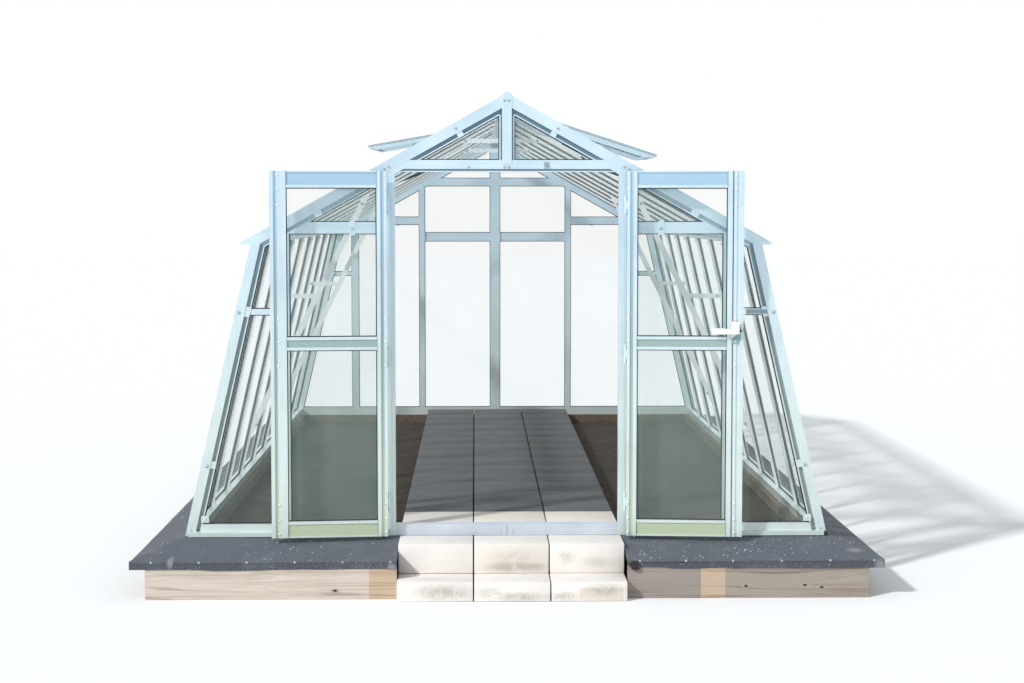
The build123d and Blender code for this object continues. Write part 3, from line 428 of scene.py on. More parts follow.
def leaf_channels(side):
    """The channels in both faces of an open door leaf."""
    normal = (-side * sin(DOOR_OPEN), cos(DOOR_OPEN), 0)
    hinge = side * HINGE_X * normal[0] + (FRONT - HINGE_REACH) * normal[1]
    return tuple((normal, hinge + depth) for depth in (LEAF_BACK - 0.006, LEAF_FRONT + 0.006))


def right_leaf_floors(f):
    """Channel floors of the right leaf for painted shade, but not of its lock stile."""
    return f.times(floors(leaf_channels(1), 0.85)(f), f.fade(f.along(ACROSS), 1.075, 1.07))


# Colours of the painted shade in the channel floors, by height: greener low down and bluer high up, a painted
# reflection of grass and sky
GABLE_SHADE = ((0.3, (0.17, 0.23, 0.18)), (1.2, (0.1, 0.17, 0.18)), (2.1, (0.1, 0.19, 0.24)))
LEVEL_SHADE = ((0.3, (0.17, 0.24, 0.19)), (1.3, (0.13, 0.24, 0.33)), (2.1, (0.12, 0.22, 0.29)))
DOOR_SHADE = ((0.3, (0.5, 0.58, 0.37)), (0.7, (0.36, 0.46, 0.4)), (1.2, (0.28, 0.39, 0.38)),
              (2, (0.36, 0.56, 0.74)))
upright = aluminium("upright", ALONG_Z, (floors(gable_channels, 0.75), GABLE_SHADE))
level = aluminium("level", ALONG_X, (level_floors, LEVEL_SHADE))
lengthwise = aluminium("lengthwise", ALONG_Y)
sloping = aluminium("sloping", DOWN_SLOPE, (rafter_floors, GABLE_SHADE))
threshold_metal = aluminium("threshold", ALONG_X, None, [COOL_TINTS] * 2)
cast_metal = aluminium("cast", ALONG_Z, None, [TEAL_TINTS] * 2, 0.3)
# Bars, braces and collar ties take the paler copy: painted sunlight
bar_metal = aluminium("bar", ALONG_Z, None, [SUNLIT_PAINTED_TINTS] * 2, 0.25)
roof_bar_metal = aluminium("roof_bar", DOWN_SLOPE, None, [SUNLIT_PAINTED_TINTS] * 2, 0.25)
left_door_metal = aluminium("left_door", ALONG_Z, (floors(leaf_channels(-1), 0.85), DOOR_SHADE))
right_door_metal = aluminium("right_door", ALONG_Z, (right_leaf_floors, DOOR_SHADE))
FILM = (3.5, 6, 0.65)
glass = two_tone("glass", FILM, (0.4, (0.34, 0.52, 0.47)), (0.75, (0.6, 0.7, 0.67)),
                 Roughness=0.02, IOR=1.5, Alpha=0.065)
roof_glass = two_tone("roof_glass", FILM, (0.4, (0.3, 0.47, 0.42)), (0.75, (0.55, 0.64, 0.6)),
                      Roughness=0.02, IOR=1.5, Alpha=0.11)
rubber = moulded("rubber", (0.012, 0.013, 0.014), 0.6, 300, 0.2, 0.0005)
# Zinc, its tone partly darkened as painted shade so small bolt heads read as dark dots
zinc = two_tone("zinc", (180,), (0.35, (0.3, 0.37, 0.42)), (0.7, (0.62, 0.7, 0.76)),
                Metallic=0.9, Roughness=0.34)
steel = two_tone("dark_steel", (90,), (0.35, (0.07, 0.09, 0.1)), (0.7, (0.16, 0.19, 0.21)),
                 Metallic=0.8, Roughness=0.4)
front_timber = timber("front", 0, (0.7, 0.605, 0.52), (0.47, 0.385, 0.32), KNOTS, PATCHES)
# The bearers' timber, darkened as painted shade
painted_shade_timber = timber("painted_shade", 1, (0.17, 0.13, 0.095), (0.085, 0.062, 0.045))
side_timber = timber("side", 1, (0.45, 0.37, 0.29), (0.22, 0.17, 0.13))
rear_timber = timber("rear", 0, (0.45, 0.37, 0.29), (0.22, 0.17, 0.13))
felt = roofing_felt()
concrete = cast_concrete("concrete", (0.88, 0.83, 0.785), (0.62, 0.57, 0.5), STEP_STAINS, 0.35, STEP_TINTS)
paving_concrete = cast_concrete("concrete_paving", (0.8, 0.74, 0.67), (0.56, 0.53, 0.48))
dark_concrete = cast_concrete("dark_concrete", (0.115, 0.118, 0.122), (0.06, 0.062, 0.066), (), 0.8)
soil = bare_soil()
screw_metal = two_tone("bright_screw", (150,), (0.35, (0.72, 0.8, 0.84)), (0.7, (0.92, 0.96, 0.98)),
                       Metallic=0.5, Roughness=0.3)
grit = two_tone("grit", (60,), (0.35, (0.5, 0.51, 0.52)), (0.65, (0.86, 0.86, 0.85)),
                Metallic=0, Roughness=0.8)
white_plastic = moulded("white_plastic", (0.86, 0.86, 0.84), 0.32, 240, 0.08, 0.0004)

FINISHES = (
    (front_timber, "front_planks"), (side_timber, "side_planks"), (rear_timber, "rear_plank"),
    (painted_shade_timber, "bearers"), (soil, "bed_fill"), (felt, "front_ledge side_ledge rear_ledge"),
    (concrete, "lower_step upper_step"), (paving_concrete, "doorway_paving"),
    (dark_concrete, "aisle_paving"), (threshold_metal, "threshold"), (sloping, "gable_rafters"),
    (level, "gable_sills tie_beams front_rails rear_rails"),
    (upright, "gable_posts king_posts front_jambs side_mullions rear_mullions"),
    (upright, "hinge_pins left_door_knuckles right_door_knuckles"),
    (lengthwise, "side_sills ridge eaves vent_trimmers vent_frames"),
    (bar_metal, "left_wall_bars right_wall_bars knee_braces collar_ties"),
    (roof_bar_metal, "left_roof_bars right_roof_bars"), (zinc, "vent_stays"),
    (glass, "left_wall_glass right_wall_glass front_glass rear_glass"),
    (glass, "left_door_glass right_door_glass"),
    (roof_glass, "left_roof_glass right_roof_glass vent_glass"),
    (left_door_metal, "left_door_frame"), (right_door_metal, "right_door_frame"),
    (white_plastic, "right_door_handle"),
)
for material, names in FINISHES:
    for name in names.split():
        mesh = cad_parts[name].data
        mesh.materials.clear()
        mesh.materials.append(material)


# Making pieces

def stand(name, data):
    """Puts an object into the scene."""
    made = bpy.data.objects.new(name, data)
    scene.collection.objects.link(made)
    return made


def piece(name, mesh, material, body="building", sharp=None):
    """Puts a bmesh into the scene, smooth if it says from what angle its edges stay sharp."""
    bmesh.ops.recalc_face_normals(mesh, faces=mesh.faces)
    data = bpy.data.meshes.new(name)
    mesh.to_mesh(data)
    mesh.free()
    for polygon in data.polygons:
        polygon.use_smooth = sharp is not None
    if sharp is not None:
        data.set_sharp_from_angle(angle=radians(sharp))
    data.materials.append(material)
    made = stand(name, data)
    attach(made, body)
    return made


def add_block(mesh, low, high, bevel=0.0, matrix=None):
    """A box between two corners, its edges rounded, moved by a matrix."""
    middle = [(a + b) / 2 for a, b in zip(low, high)]
    size = Matrix.Diagonal([b - a for a, b in zip(low, high)]).to_4x4()
    verts = bmesh.ops.create_cube(mesh, size=1, matrix=Matrix.Translation(middle) @ size)["verts"]
    if bevel:
        edges = list({edge for vert in verts for edge in vert.link_edges})
        rounded = round_edges(mesh, edges, bevel)
        verts = list({vert for face in rounded["faces"] for vert in face.verts}
                     | {v for v in verts if v.is_valid})
    if matrix:
        bmesh.ops.transform(mesh, matrix=matrix, verts=verts)
    return verts


def round_edges(mesh, edges, radius):
    return bmesh.ops.bevel(mesh, geom=edges, offset=radius, segments=2, affect="EDGES", profile=0.5)


def add_rod(mesh, start, end, radius, sides=16, tip=None):
    """A round bar between two points, optionally narrower at its end."""
    start, end = Vector(start), Vector(end)
    run = end - start
    matrix = Matrix.Translation((start + end) / 2) @ run.to_track_quat("Z", "Y").to_matrix().to_4x4()
    bmesh.ops.create_cone(mesh, cap_ends=True, segments=sides, radius1=radius,
                          radius2=radius if tip is None else tip, depth=run.length, matrix=matrix)


# Each step of a head: its span in shares of the height, its radii in shares of the radius, its sides
BOLT = ((0.0, 0.25, 1.45, 1.45, 20), (0.25, 0.8, 1.0, 1.0, 6), (0.8, 1.0, 1.0, 0.7, 6))
DOME = ((0.0, 0.4, 1.0, 1.0, 14), (0.4, 0.8, 1.0, 0.72, 14), (0.8, 1.0, 0.72, 0.35, 14))


def add_head(mesh, steps, point, out, radius, height):
    """The head of a bolt on its washer, or of a nail or screw."""
    point, rise = Vector(point), Vector(out).normalized() * height
    for low, high, wide, narrow, sides in steps:
        add_rod(mesh, point + rise * low, point + rise * high, radius * wide, sides, radius * narrow)


def inset_corners(outline, widths):
    """Corners of an outline moved inwards, with a width for the edge that leaves each corner."""
    count = len(outline)
    points = [Vector(p) for p in outline]
    area = sum(points[k - 1].x * points[k].y - points[k].x * points[k - 1].y for k in range(count))
    turn = 1 if area > 0 else -1
    lines = []
    for k in range(count):
        run = (points[(k + 1) % count] - points[k]).normalized()
        lines.append((points[k] + Vector((-run.y, run.x)) * turn * widths[k], run))
    corners = []
    for k in range(count):
        (p, r), (q, s) = lines[k - 1], lines[k]
        reach = ((q - p).x * s.y - (q - p).y * s.x) / (r.x * s.y - r.y * s.x)
        corners.append(p + r * reach)
    return corners


def join_rings(mesh, near, far):
    """Faces between two closed rings of as many vertices."""
    for k in range(len(near)):
        n = (k + 1) % len(near)
        mesh.faces.new((near[k], near[n], far[n], far[k]))


def add_ring(mesh, outline, widths, to_world, depths):
    """A strip that runs round the inside of an outline, between two depths."""
    inner = inset_corners(outline, widths)
    rings = [[mesh.verts.new(to_world(u, v, depth)) for u, v in corners]
             for corners in (outline, inner) for depth in depths]
    outer_near, outer_far, inner_near, inner_far = rings
    for a, b in ((outer_near, inner_near), (inner_near, inner_far),
                 (inner_far, outer_far), (outer_far, outer_near)):
        join_rings(mesh, a, b)


def add_prism(mesh, outline, to_world, depths):
    """An outline filled and carried between two depths."""
    near, far = ([mesh.verts.new(to_world(u, v, depth)) for u, v in outline] for depth in depths)
    mesh.faces.new(near)
    mesh.faces.new(far)
    join_rings(mesh, near, far)


def add_rounded_prism(mesh, outline, to_world, depths, radius):
    kept = set(mesh.edges)
    add_prism(mesh, outline, to_world, depths)
    round_edges(mesh, [edge for edge in mesh.edges if edge not in kept], radius)


def rectangle(u0, v0, u1, v1):
    return [(u0, v0), (u1, v0), (u1, v1), (u0, v1)]


def on_front(u, v, depth):
    return (u, FRONT + depth, v)


def on_rear(u, v, depth):
    return (u, REAR - depth, v)


def on_wall(side):
    """Y and height on a leaning wall; depth goes inwards."""
    return lambda u, v, depth: (side * wall_x(v, depth), u, v)


def on_roof(side):
    """Y and X on a roof slope; depth goes inwards."""
    return lambda u, v, depth: (side * v, u, roof_z(v, depth))


def leaf_matrix(side):
    """From a closed leaf drawn at its hinge to the open leaf."""
    turn = Matrix.Translation((-HINGE_X, FRONT - HINGE_REACH, 0)) @ Matrix.Rotation(-DOOR_OPEN, 4, "Z")
    return turn if side < 0 else Matrix.Diagonal((-1, 1, 1, 1)) @ turn


# Rubber round the glass

GASKET = 0.0045
GASKET_PROUD = 0.003
INNER_GASKET_PROUD = 0.0035


# Panes in the right half of a gable, from beside the doorway to the top
SIDE_OUTLINES = (
    rectangle(JAMB_OUTER_X, GABLE_SILL_TOP, MULLION_INNER_X, TRANSOM_BOTTOM),
    [(MULLION_OUTER_X, GABLE_SILL_TOP), (wall_x(GABLE_SILL_TOP, POST_BODY), GABLE_SILL_TOP),
     (wall_x(MIDRAIL_BOTTOM, POST_BODY), MIDRAIL_BOTTOM), (MULLION_OUTER_X, MIDRAIL_BOTTOM)],
    [(MULLION_OUTER_X, MIDRAIL_TOP), (wall_x(MIDRAIL_TOP, POST_BODY), MIDRAIL_TOP),
     eave_point(POST_BODY, RAFTER_BODY), (MULLION_OUTER_X, roof_z(MULLION_OUTER_X, RAFTER_BODY))],
    [(JAMB_OUTER_X, TRANSOM_TOP), (roof_x(TRANSOM_TOP, RAFTER_BODY), TRANSOM_TOP),
     (JAMB_OUTER_X, roof_z(JAMB_OUTER_X, RAFTER_BODY))],
    [(KING_EDGE, TIE_TOP), (roof_x(TIE_TOP, RAFTER_BODY), TIE_TOP),
     (KING_EDGE, roof_z(KING_EDGE, RAFTER_BODY))],
)
REAR_MIDDLE_OUTLINES = (
    rectangle(KING_EDGE, GABLE_SILL_TOP, JAMB_INNER_X, REAR_TRANSOM_BOTTOM),
    [(KING_EDGE, REAR_TRANSOM_TOP), (JAMB_INNER_X, REAR_TRANSOM_TOP),
     (JAMB_INNER_X, roof_z(JAMB_INNER_X, RAFTER_BODY)), (roof_x(TIE_BOTTOM, RAFTER_BODY), TIE_BOTTOM),
     (KING_EDGE, TIE_BOTTOM)],
)


def gable_gaskets(name, outlines, to_world):
    mesh = bmesh.new()
    front, back = GABLE_GLASS
    for outline in outlines:
        for corners in (outline, [(-u, v) for u, v in outline]):
            widths = [GASKET] * len(corners)
            add_ring(mesh, corners, widths, to_world, (front - GASKET_PROUD, front))
            add_ring(mesh, corners, widths, to_world, (back, back + GASKET_PROUD))
    piece(name, mesh, rubber)


gable_gaskets("front_gaskets", SIDE_OUTLINES, on_front)
gable_gaskets("rear_gaskets", SIDE_OUTLINES + REAR_MIDDLE_OUTLINES, on_rear)


OUTER_REACH = 0.0105


def bay_gaskets(name, to_world, start, end, vent_bay=None):
    """Rubber outside and inside the panes; the pane under a vent starts at its trimmer."""
    mesh = bmesh.new()
    for bay in range(BAYS):
        y0 = FRONT + GABLE_DEPTH if bay == 0 else FRONT + bay * BAY + BAR_WEB
        y1 = REAR - GABLE_DEPTH if bay == BAYS - 1 else FRONT + (bay + 1) * BAY - BAR_WEB
        outline = rectangle(y0, TRIMMER_X + TRIMMER_HALF if bay == vent_bay else start, y1, end)
        add_ring(mesh, outline, [GASKET, OUTER_REACH, GASKET, OUTER_REACH], to_world,
                 (PANE_OUT - 0.0015, PANE_OUT))
        add_ring(mesh, outline, [0.002] * 4, to_world, (PANE_IN, PANE_IN + INNER_GASKET_PROUD))
    piece(name, mesh, rubber)


LEFT_VENT_BAY = 4
RIGHT_VENT_BAY = 1
TRIMMER_X = RIDGE_HALF + (VENT_LENGTH - VENT_FOOT_RAIL / 2) / SLOPE_STRETCH
TRIMMER_HALF = 0.017
bay_gaskets("left_wall_gaskets", on_wall(-1), SIDE_SILL_TOP, EAVE_BEAM_BOTTOM)
bay_gaskets("right_wall_gaskets", on_wall(1), SIDE_SILL_TOP, EAVE_BEAM_BOTTOM)
bay_gaskets("left_roof_gaskets", on_roof(-1), RIDGE_HALF, EAVE_BEAM_INNER_X, LEFT_VENT_BAY)
bay_gaskets("right_roof_gaskets", on_roof(1), RIDGE_HALF, EAVE_BEAM_INNER_X, RIGHT_VENT_BAY)

STILE = 0.048
LOCK_STILE = 0.078
DOOR_MID_BOTTOM = FOOT_Z + 0.903
DOOR_MID_TOP = DOOR_MID_BOTTOM + 0.063
WINDOW_LOW = LEAF_START + STILE
WINDOW_HIGH = LEAF_END - LOCK_STILE
LEAF_WINDOWS = ((LEAF_Z + 0.078, DOOR_MID_BOTTOM), (DOOR_MID_TOP, LEAF_TOP - 0.08))


def leaf_point(side):
    matrix = leaf_matrix(side)
    return lambda u, v, depth: matrix @ Vector((u, depth, v))


for side, name in DOORS:
    mesh = bmesh.new()
    middle = (LEAF_FRONT + LEAF_BACK) / 2
    for z0, z1 in LEAF_WINDOWS:
        window = rectangle(WINDOW_LOW, z0, WINDOW_HIGH, z1)
        for near, far in ((middle - 0.005, middle - 0.002), (middle + 0.002, middle + 0.005)):
            add_ring(mesh, window, [GASKET] * 4, leaf_point(side), (near, far))
    piece(name + "_gaskets", mesh, rubber, body=name)


# Bolts, plates and small fittings of the gables

# Across, up and how far out of the gable's face, on both sides of both gables
BOLTS = (
    (0.01, 2.322, 0.003), (0.01, 2.006, 0.0), (0.2436, 2.188, 0.0), (0.563, 2.007, 0.0),
    (0.5835, 1.997, 0.0), (1.13, 1.706, 0.0), (1.52, 0.262, 0.0),
)
POST_BOLTS = ((1.282, 1.3125), (1.443, 0.574))
TRANSOM_PLATE_X = 0.738
PLATE_PROUD = 0.003
SEAM = 0.0009


def bolt_gables(mesh, x, z, proud, radius, height):
    """A bolt in the outer face of each gable."""
    for y, out in ((FRONT, -1), (REAR, 1)):
        add_head(mesh, BOLT, (x, y + out * proud, z), (0, out, 0), radius, height)


mesh = bmesh.new()
for x, z, proud in BOLTS:
    for side in (-1, 1):
        bolt_gables(mesh, side * x, z, proud, 0.005, 0.0045)
for x, z in POST_BOLTS:
    for side in (-1, 1):
        bolt_gables(mesh, side * x, z, 0.0, 0.0065, 0.006)
bolt_gables(mesh, -0.1826, 2.006, 0.0, 0.0045, 0.004)
for side in (-1, 1):
    add_head(mesh, BOLT, (side * TRANSOM_PLATE_X, FRONT - PLATE_PROUD, 1.713), (0, -1, 0), 0.0055, 0.004)
for x in (-0.03, 0.03):
    for z in (FOOT_Z + 0.01, FOOT_Z + 0.024):
        add_head(mesh, DOME, (x, FRONT, z), (0, -1, 0), 0.0035, 0.0025)
piece("gable_bolts", mesh, zinc)

POST_CHANNEL = 0.057
RAFTER_CHANNEL = 0.062
STRIP_HALF = 0.013
WALL_LEAN = -atan(LEAN)
ROOF_LEAN = pi / 2 + ROOF_ANGLE
# Height or X of each strip's middle, and its length
POST_STRIPS = ((1.316, 0.05), (0.579, 0.036))
RAFTER_STRIPS = ((0.222, 0.03), (0.9, 0.04))


def add_strip(mesh, side, to_world, middle, length, lean):
    """Plate across a channel, its ends square to a member that leans by lean."""
    member = Vector((sin(lean), cos(lean)))
    across = Vector((member.y, -member.x))
    corners = [Vector(middle) + member * a * length / 2 + across * b * STRIP_HALF
               for a, b in rectangle(-1, -1, 1, 1)]
    add_prism(mesh, [(side * c.x, c.y) for c in corners], to_world, (0.004, CHANNEL_FLOOR))


mesh = bmesh.new()
tie_end = [(roof_x(TIE_TOP, RAFTER_BODY), TIE_TOP), (roof_x(TIE_TOP, RAFTER_FLANGE), TIE_TOP),
           (JAMB_OUTER_X, roof_z(JAMB_OUTER_X, RAFTER_FLANGE)),
           (JAMB_OUTER_X, roof_z(JAMB_OUTER_X, RAFTER_BODY))]
for to_world in (on_front, on_rear):
    for side in (-1, 1):
        for z, length in POST_STRIPS:
            add_strip(mesh, side, to_world, (wall_x(z, POST_CHANNEL), z), length, WALL_LEAN)
        for x, length in RAFTER_STRIPS:
            add_strip(mesh, side, to_world, (x, roof_z(x, RAFTER_CHANNEL)), length, ROOF_LEAN)
        add_prism(mesh, [(side * u, v) for u, v in tie_end], to_world, (0.0006, CHANNEL_FLOOR))
        x = side * TRANSOM_PLATE_X
        add_prism(mesh, rectangle(x - 0.014, TRANSOM_BOTTOM - 0.008, x + 0.014, TRANSOM_TOP + 0.006),
                  to_world, (-PLATE_PROUD, 0.0))
piece("gable_plates", mesh, level)

# Joint in the middle of the threshold
mesh = bmesh.new()
add_prism(mesh, rectangle(-SEAM, FOOT_Z + 0.001, SEAM, FOOT_Z + 0.051), on_front, (-0.0003, 0.0003))
piece("threshold_joint", mesh, rubber)

# Padlock eye on the tie beam
EYE_X = 0.19
EYE_Z = 2.016
EYE_PLATE = 0.0025
mesh = bmesh.new()
add_block(mesh, (EYE_X - 0.013, FRONT - EYE_PLATE, EYE_Z - 0.016), (EYE_X + 0.013, FRONT, EYE_Z + 0.016),
          0.001)
bow = [(EYE_X + 0.009 * cos(pi * k / 8), FRONT - 0.003 - 0.012 * sin(pi * k / 8), EYE_Z)
       for k in range(9)]
for start, end in zip(bow, bow[1:]):
    add_rod(mesh, start, end, 0.0025, 10)
for z in (-0.011, 0.011):
    add_head(mesh, DOME, (EYE_X, FRONT - EYE_PLATE, EYE_Z + z), (0, -1, 0), 0.0032, 0.002)
piece("padlock_eye", mesh, zinc)

# Clip on the right mid rail
mesh = bmesh.new()
add_block(mesh, (1.134, FRONT + 0.001, MIDRAIL_BOTTOM - 0.002),
          (1.15, FRONT + 0.01, MIDRAIL_TOP + 0.002), 0.002)
piece("rail_clip", mesh, white_plastic)

# Drips along the front sills, the end of the right one, and tabs at the feet of the posts
LIP_Y = FRONT - 0.026
LIP_END = 1.532
drip = [(FRONT, 0.258), (LIP_Y, 0.2545), (LIP_Y, 0.2345), (LIP_Y + 0.002, 0.2345),
        (LIP_Y + 0.002, 0.253), (FRONT, 0.256)]
mesh = bmesh.new()
for ends in ((MULLION_OUTER_X, LIP_END), (-LIP_END, -MULLION_OUTER_X)):
    add_prism(mesh, drip, lambda u, v, depth: (depth, u, v), ends)
piece("sill_drips", mesh, level)
mesh = bmesh.new()
add_block(mesh, (LIP_END, LIP_Y, 0.234), (LIP_END + 0.018, FRONT - 0.001, 0.252), 0.002)
piece("drip_end", mesh, rubber)
mesh = bmesh.new()
for side in (-1, 1):
    x0, x1 = sorted((side * 1.434, side * 1.472))
    add_block(mesh, (x0, FRONT - PLATE_PROUD, 0.3), (x1, FRONT, 0.334), 0.001)
    add_head(mesh, BOLT, (side * 1.452, FRONT - PLATE_PROUD, 0.317), (0, -1, 0), 0.0045, 0.004)
piece("post_foot_tabs", mesh, upright)

# Screws and corner joints of the doors
SCREW_LEVELS = (1.967, 1.901, 1.826, 1.287, 1.179, 1.066, 0.4015, 0.328, 0.262)
SEAM_SPANS = ((LEAF_Z, LEAF_WINDOWS[0][0]), (LEAF_WINDOWS[0][1], LEAF_WINDOWS[1][0]),
              (LEAF_WINDOWS[1][1], LEAF_TOP))
for side, name in DOORS:
    to_world = leaf_point(side)
    turn = leaf_matrix(side).to_3x3()
    mesh = bmesh.new()
    for x in (LEAF_START + 0.0085, LEAF_END - 0.038):
        for z in SCREW_LEVELS:
            for face, out in LEAF_FACES:
                add_head(mesh, DOME, to_world(x, z, face), turn @ Vector((0, out, 0)), 0.0062, 0.0045)
    piece(name + "_screws", mesh, screw_metal, name)
    mesh = bmesh.new()
    for face, out in LEAF_FACES:
        for x in (WINDOW_LOW, WINDOW_HIGH):
            for z0, z1 in SEAM_SPANS:
                add_prism(mesh, rectangle(x - SEAM, z0, x + SEAM, z1), to_world,
                          (face - out * 0.0005, face + out * 0.0003))
    piece(name + "_seams", mesh, steel, body=name)

# The right leaf's lock stile has a second lip, which shades its channel; that shadow is painted here as a
# thin dark strip
to_world = leaf_point(1)
mesh = bmesh.new()
for z0, z1 in ((LEAF_Z + 0.001, 1.183), (1.275, LEAF_TOP - 0.001)):
    add_prism(mesh, rectangle(0.506, z0, 0.5115, z1), to_world, (LEAF_BACK - 0.0004, LEAF_BACK + 0.0004))
piece("lock_stile_painted_shadow", mesh, steel, body="right_door")

# Handle on both faces of the right leaf, its heights measured from its middle
HANDLE_Z = FOOT_Z + 0.992
HANDLE_BLOCK = ((0.5037, -0.031), (0.5475, -0.001), (0.5475, 0.045), (0.5037, 0.045))
HANDLE_BRACKET = ((0.5037, -0.03), (0.548, 0.0), (0.547, -0.04), (0.532, -0.06), (0.505, -0.056))
# Each box of the lever: its ends along the leaf, off its face and up, and its edges' radius
LEVER_BOXES = (((0.518, 0.542), (0.018, 0.03), (-0.013, 0.012), 0.004),
               ((0.412, 0.54), (0.024, 0.034), (-0.0135, 0.0125), 0.0045))
CLAW_X = 0.545
CLAW_Z = HANDLE_Z + 0.003
CLAW_TIPS = ((-0.003, 0.031), (-0.014, -0.004), (0.013, 0.0))
plastic, bracket, claw = bmesh.new(), bmesh.new(), bmesh.new()
turn = leaf_matrix(1)


def on_handle(u, v, depth):
    return to_world(u, HANDLE_Z + v, depth)


for face, out in LEAF_FACES:
    add_rounded_prism(plastic, HANDLE_BLOCK, on_handle, sorted((face, face + out * 0.02)), 0.003)
    for (x0, x1), reach, (z0, z1), bevel in LEVER_BOXES:
        y0, y1 = sorted(face + out * depth for depth in reach)
        add_block(plastic, (x0, y0, HANDLE_Z + z0), (x1, y1, HANDLE_Z + z1), bevel, turn)
    add_prism(bracket, HANDLE_BRACKET, on_handle, sorted((face, face + out * 0.004)))
    hub_y = face + out * 0.023
    for dx, dz in CLAW_TIPS:
        add_rod(claw, turn @ Vector((CLAW_X, hub_y, CLAW_Z)),
                turn @ Vector((CLAW_X + dx, hub_y + out * 0.003, CLAW_Z + dz)), 0.0032, 10, 0.0016)
    add_rod(claw, turn @ Vector((CLAW_X, face + out * 0.0185, CLAW_Z)),
            turn @ Vector((CLAW_X, face + out * 0.0275, CLAW_Z)), 0.006, 14)
made = piece("handle_levers", plastic, white_plastic, "right_door")
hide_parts("right_door_handle")
piece("handle_brackets", bracket, cast_metal, "right_door")
piece("handle_claws", claw, steel, "right_door")


# Roof vents

VENT_SEAT = 0.0003
VENT_DROP = 0.007
VENT_SIDE = 0.016


def vent_point(side, bay, opening):
    """Distance down the vent, across it and up from its top, in the world."""
    tilt = ROOF_ANGLE - radians(opening)
    hinge_x = RIDGE_HALF + VENT_SEAT + VENT_THICK * sin(tilt)
    hinge_z = roof_z(hinge_x, VENT_DROP)

    def point(u, v, depth):
        return (side * (hinge_x + u * cos(tilt) - depth * sin(tilt)), v,
                hinge_z - u * sin(tilt) - depth * cos(tilt))
    return point


VENTS = ((-1, LEFT_VENT_BAY, 19.2), (1, RIGHT_VENT_BAY, 11.2))
gaskets, edges, openers = bmesh.new(), bmesh.new(), bmesh.new()
for side, bay, opening in VENTS:
    to_world = vent_point(side, bay, opening)
    y0 = FRONT + bay * BAY + VENT_SIDE
    y1 = y0 + BAY - 2 * VENT_SIDE
    window = rectangle(VENT_RAIL, y0 + VENT_RAIL, VENT_LENGTH - VENT_FOOT_RAIL, y1 - VENT_RAIL)
    for depths in ((0.001, 0.004), (0.008, 0.011)):
        add_ring(gaskets, window, [GASKET] * 4, to_world, depths)
    for v0, v1 in ((y0 - 0.0006, y0), (y1, y1 + 0.0006)):
        for depth in (0.0045, 0.0105):
            add_prism(edges, rectangle(0.004, v0, VENT_LENGTH - 0.004, v1), to_world, (depth, depth + 0.0018))
    middle = (y0 + y1) / 2
    seat = Vector((side * (TRIMMER_X - 0.012), middle, roof_z(TRIMMER_X - 0.012, BAR_CAP_END)))
    holder = Vector(to_world(0.43, middle, VENT_THICK))
    elbow = Vector(to_world(0.3, middle, VENT_THICK + 0.05))
    base = Vector((side * (TRIMMER_X - 0.235), middle, roof_z(TRIMMER_X - 0.235, 0.05)))
    add_block(openers, [c - 0.016 for c in seat], [c + 0.008 for c in seat], 0.002)
    add_rod(openers, seat, base, 0.011, 18)
    add_rod(openers, base, base.lerp(elbow, 0.35), 0.005, 12)
    for offset in (-0.01, 0.01):
        shift = Vector((0, offset, 0))
        add_rod(openers, seat + shift, elbow + shift, 0.004, 10)
        add_rod(openers, elbow + shift, holder + shift, 0.004, 10)
    add_rod(openers, elbow - Vector((0, 0.014, 0)), elbow + Vector((0, 0.014, 0)), 0.006, 12)
    add_block(openers, [c - 0.014 for c in holder], [c + 0.006 for c in holder], 0.002)
piece("vent_gaskets", gaskets, rubber)
piece("vent_edges", edges, rubber)
piece("vent_openers", openers, steel)

# Bolts of the braced frames and of the bar ends
BRACED_BARS = (3, 6)
mesh = bmesh.new()
for number in range(1, BAYS):
    y = FRONT + number * BAY
    for side in (-1, 1):
        for z in (SIDE_SILL_TOP + 0.018, EAVE_BEAM_BOTTOM - 0.018):
            add_head(mesh, BOLT, (side * wall_x(z, BAR_DEPTH), y, z), (-side, 0, -0.2), 0.0036, 0.006)
        for x in (RIDGE_HALF + 0.03, EAVE_BEAM_INNER_X - 0.02):
            add_head(mesh, BOLT, (side * x, y, roof_z(x, BAR_DEPTH)), (-side * 0.4, 0, -1), 0.0036, 0.006)
        if number in BRACED_BARS:
            places = ((wall_x(0.567, 0.06), 0.567), (0.8, roof_z(0.8, 0.062)),
                      (wall_x(1.309, 0.058), 1.309), (0.205, roof_z(0.227, 0.042) + 0.013))
            for x, z in places:
                for out in (-1, 1):
                    add_head(mesh, BOLT, (side * x, y + out * 0.004, z), (0, out, 0), 0.0055, 0.005)
piece("frame_bolts", mesh, zinc)


# Felt, laid over the ledges and folded down their edges

LEDGE_FALL = 0.054
FASCIA_BOTTOM = 0.14
FRONT_LEDGE = 0.375
SIDE_LEDGE = 0.205
FOLD = 0.007


def felt_section(run, reach, plank_face):
    """Points round the section: distance out, height, and how freely the felt moves there."""
    slope = LEDGE_FALL / run
    points = [(0.0, FOOT_Z, 0.0)]
    for k in range(1, 13):
        out = (reach - FOLD) * k / 12
        points.append((out, FOOT_Z - slope * out, 1.0))
    for k in range(1, 4):
        turn = radians(90) * k / 3
        points.append((reach - FOLD + FOLD * sin(turn),
                       FOOT_Z - slope * reach - FOLD * (1 - cos(turn)), 1.0))
    top = points[-1][1]
    hem = FASCIA_BOTTOM + 0.004
    for k in range(1, 5):
        points.append((reach, top + (hem - top) * k / 4, 1.0 + k * 0.25))
    inner = plank_face - 0.03
    under = FOOT_Z - 0.022
    return points + [(reach - 0.006, hem, 2.0), (reach - 0.008, 0.158, 0.0), (plank_face, 0.158, 0.0),
                     (plank_face - 0.028, 0.151, 0.0), (inner, under - slope * inner, 0.0),
                     (0.0, under, 0.0)]


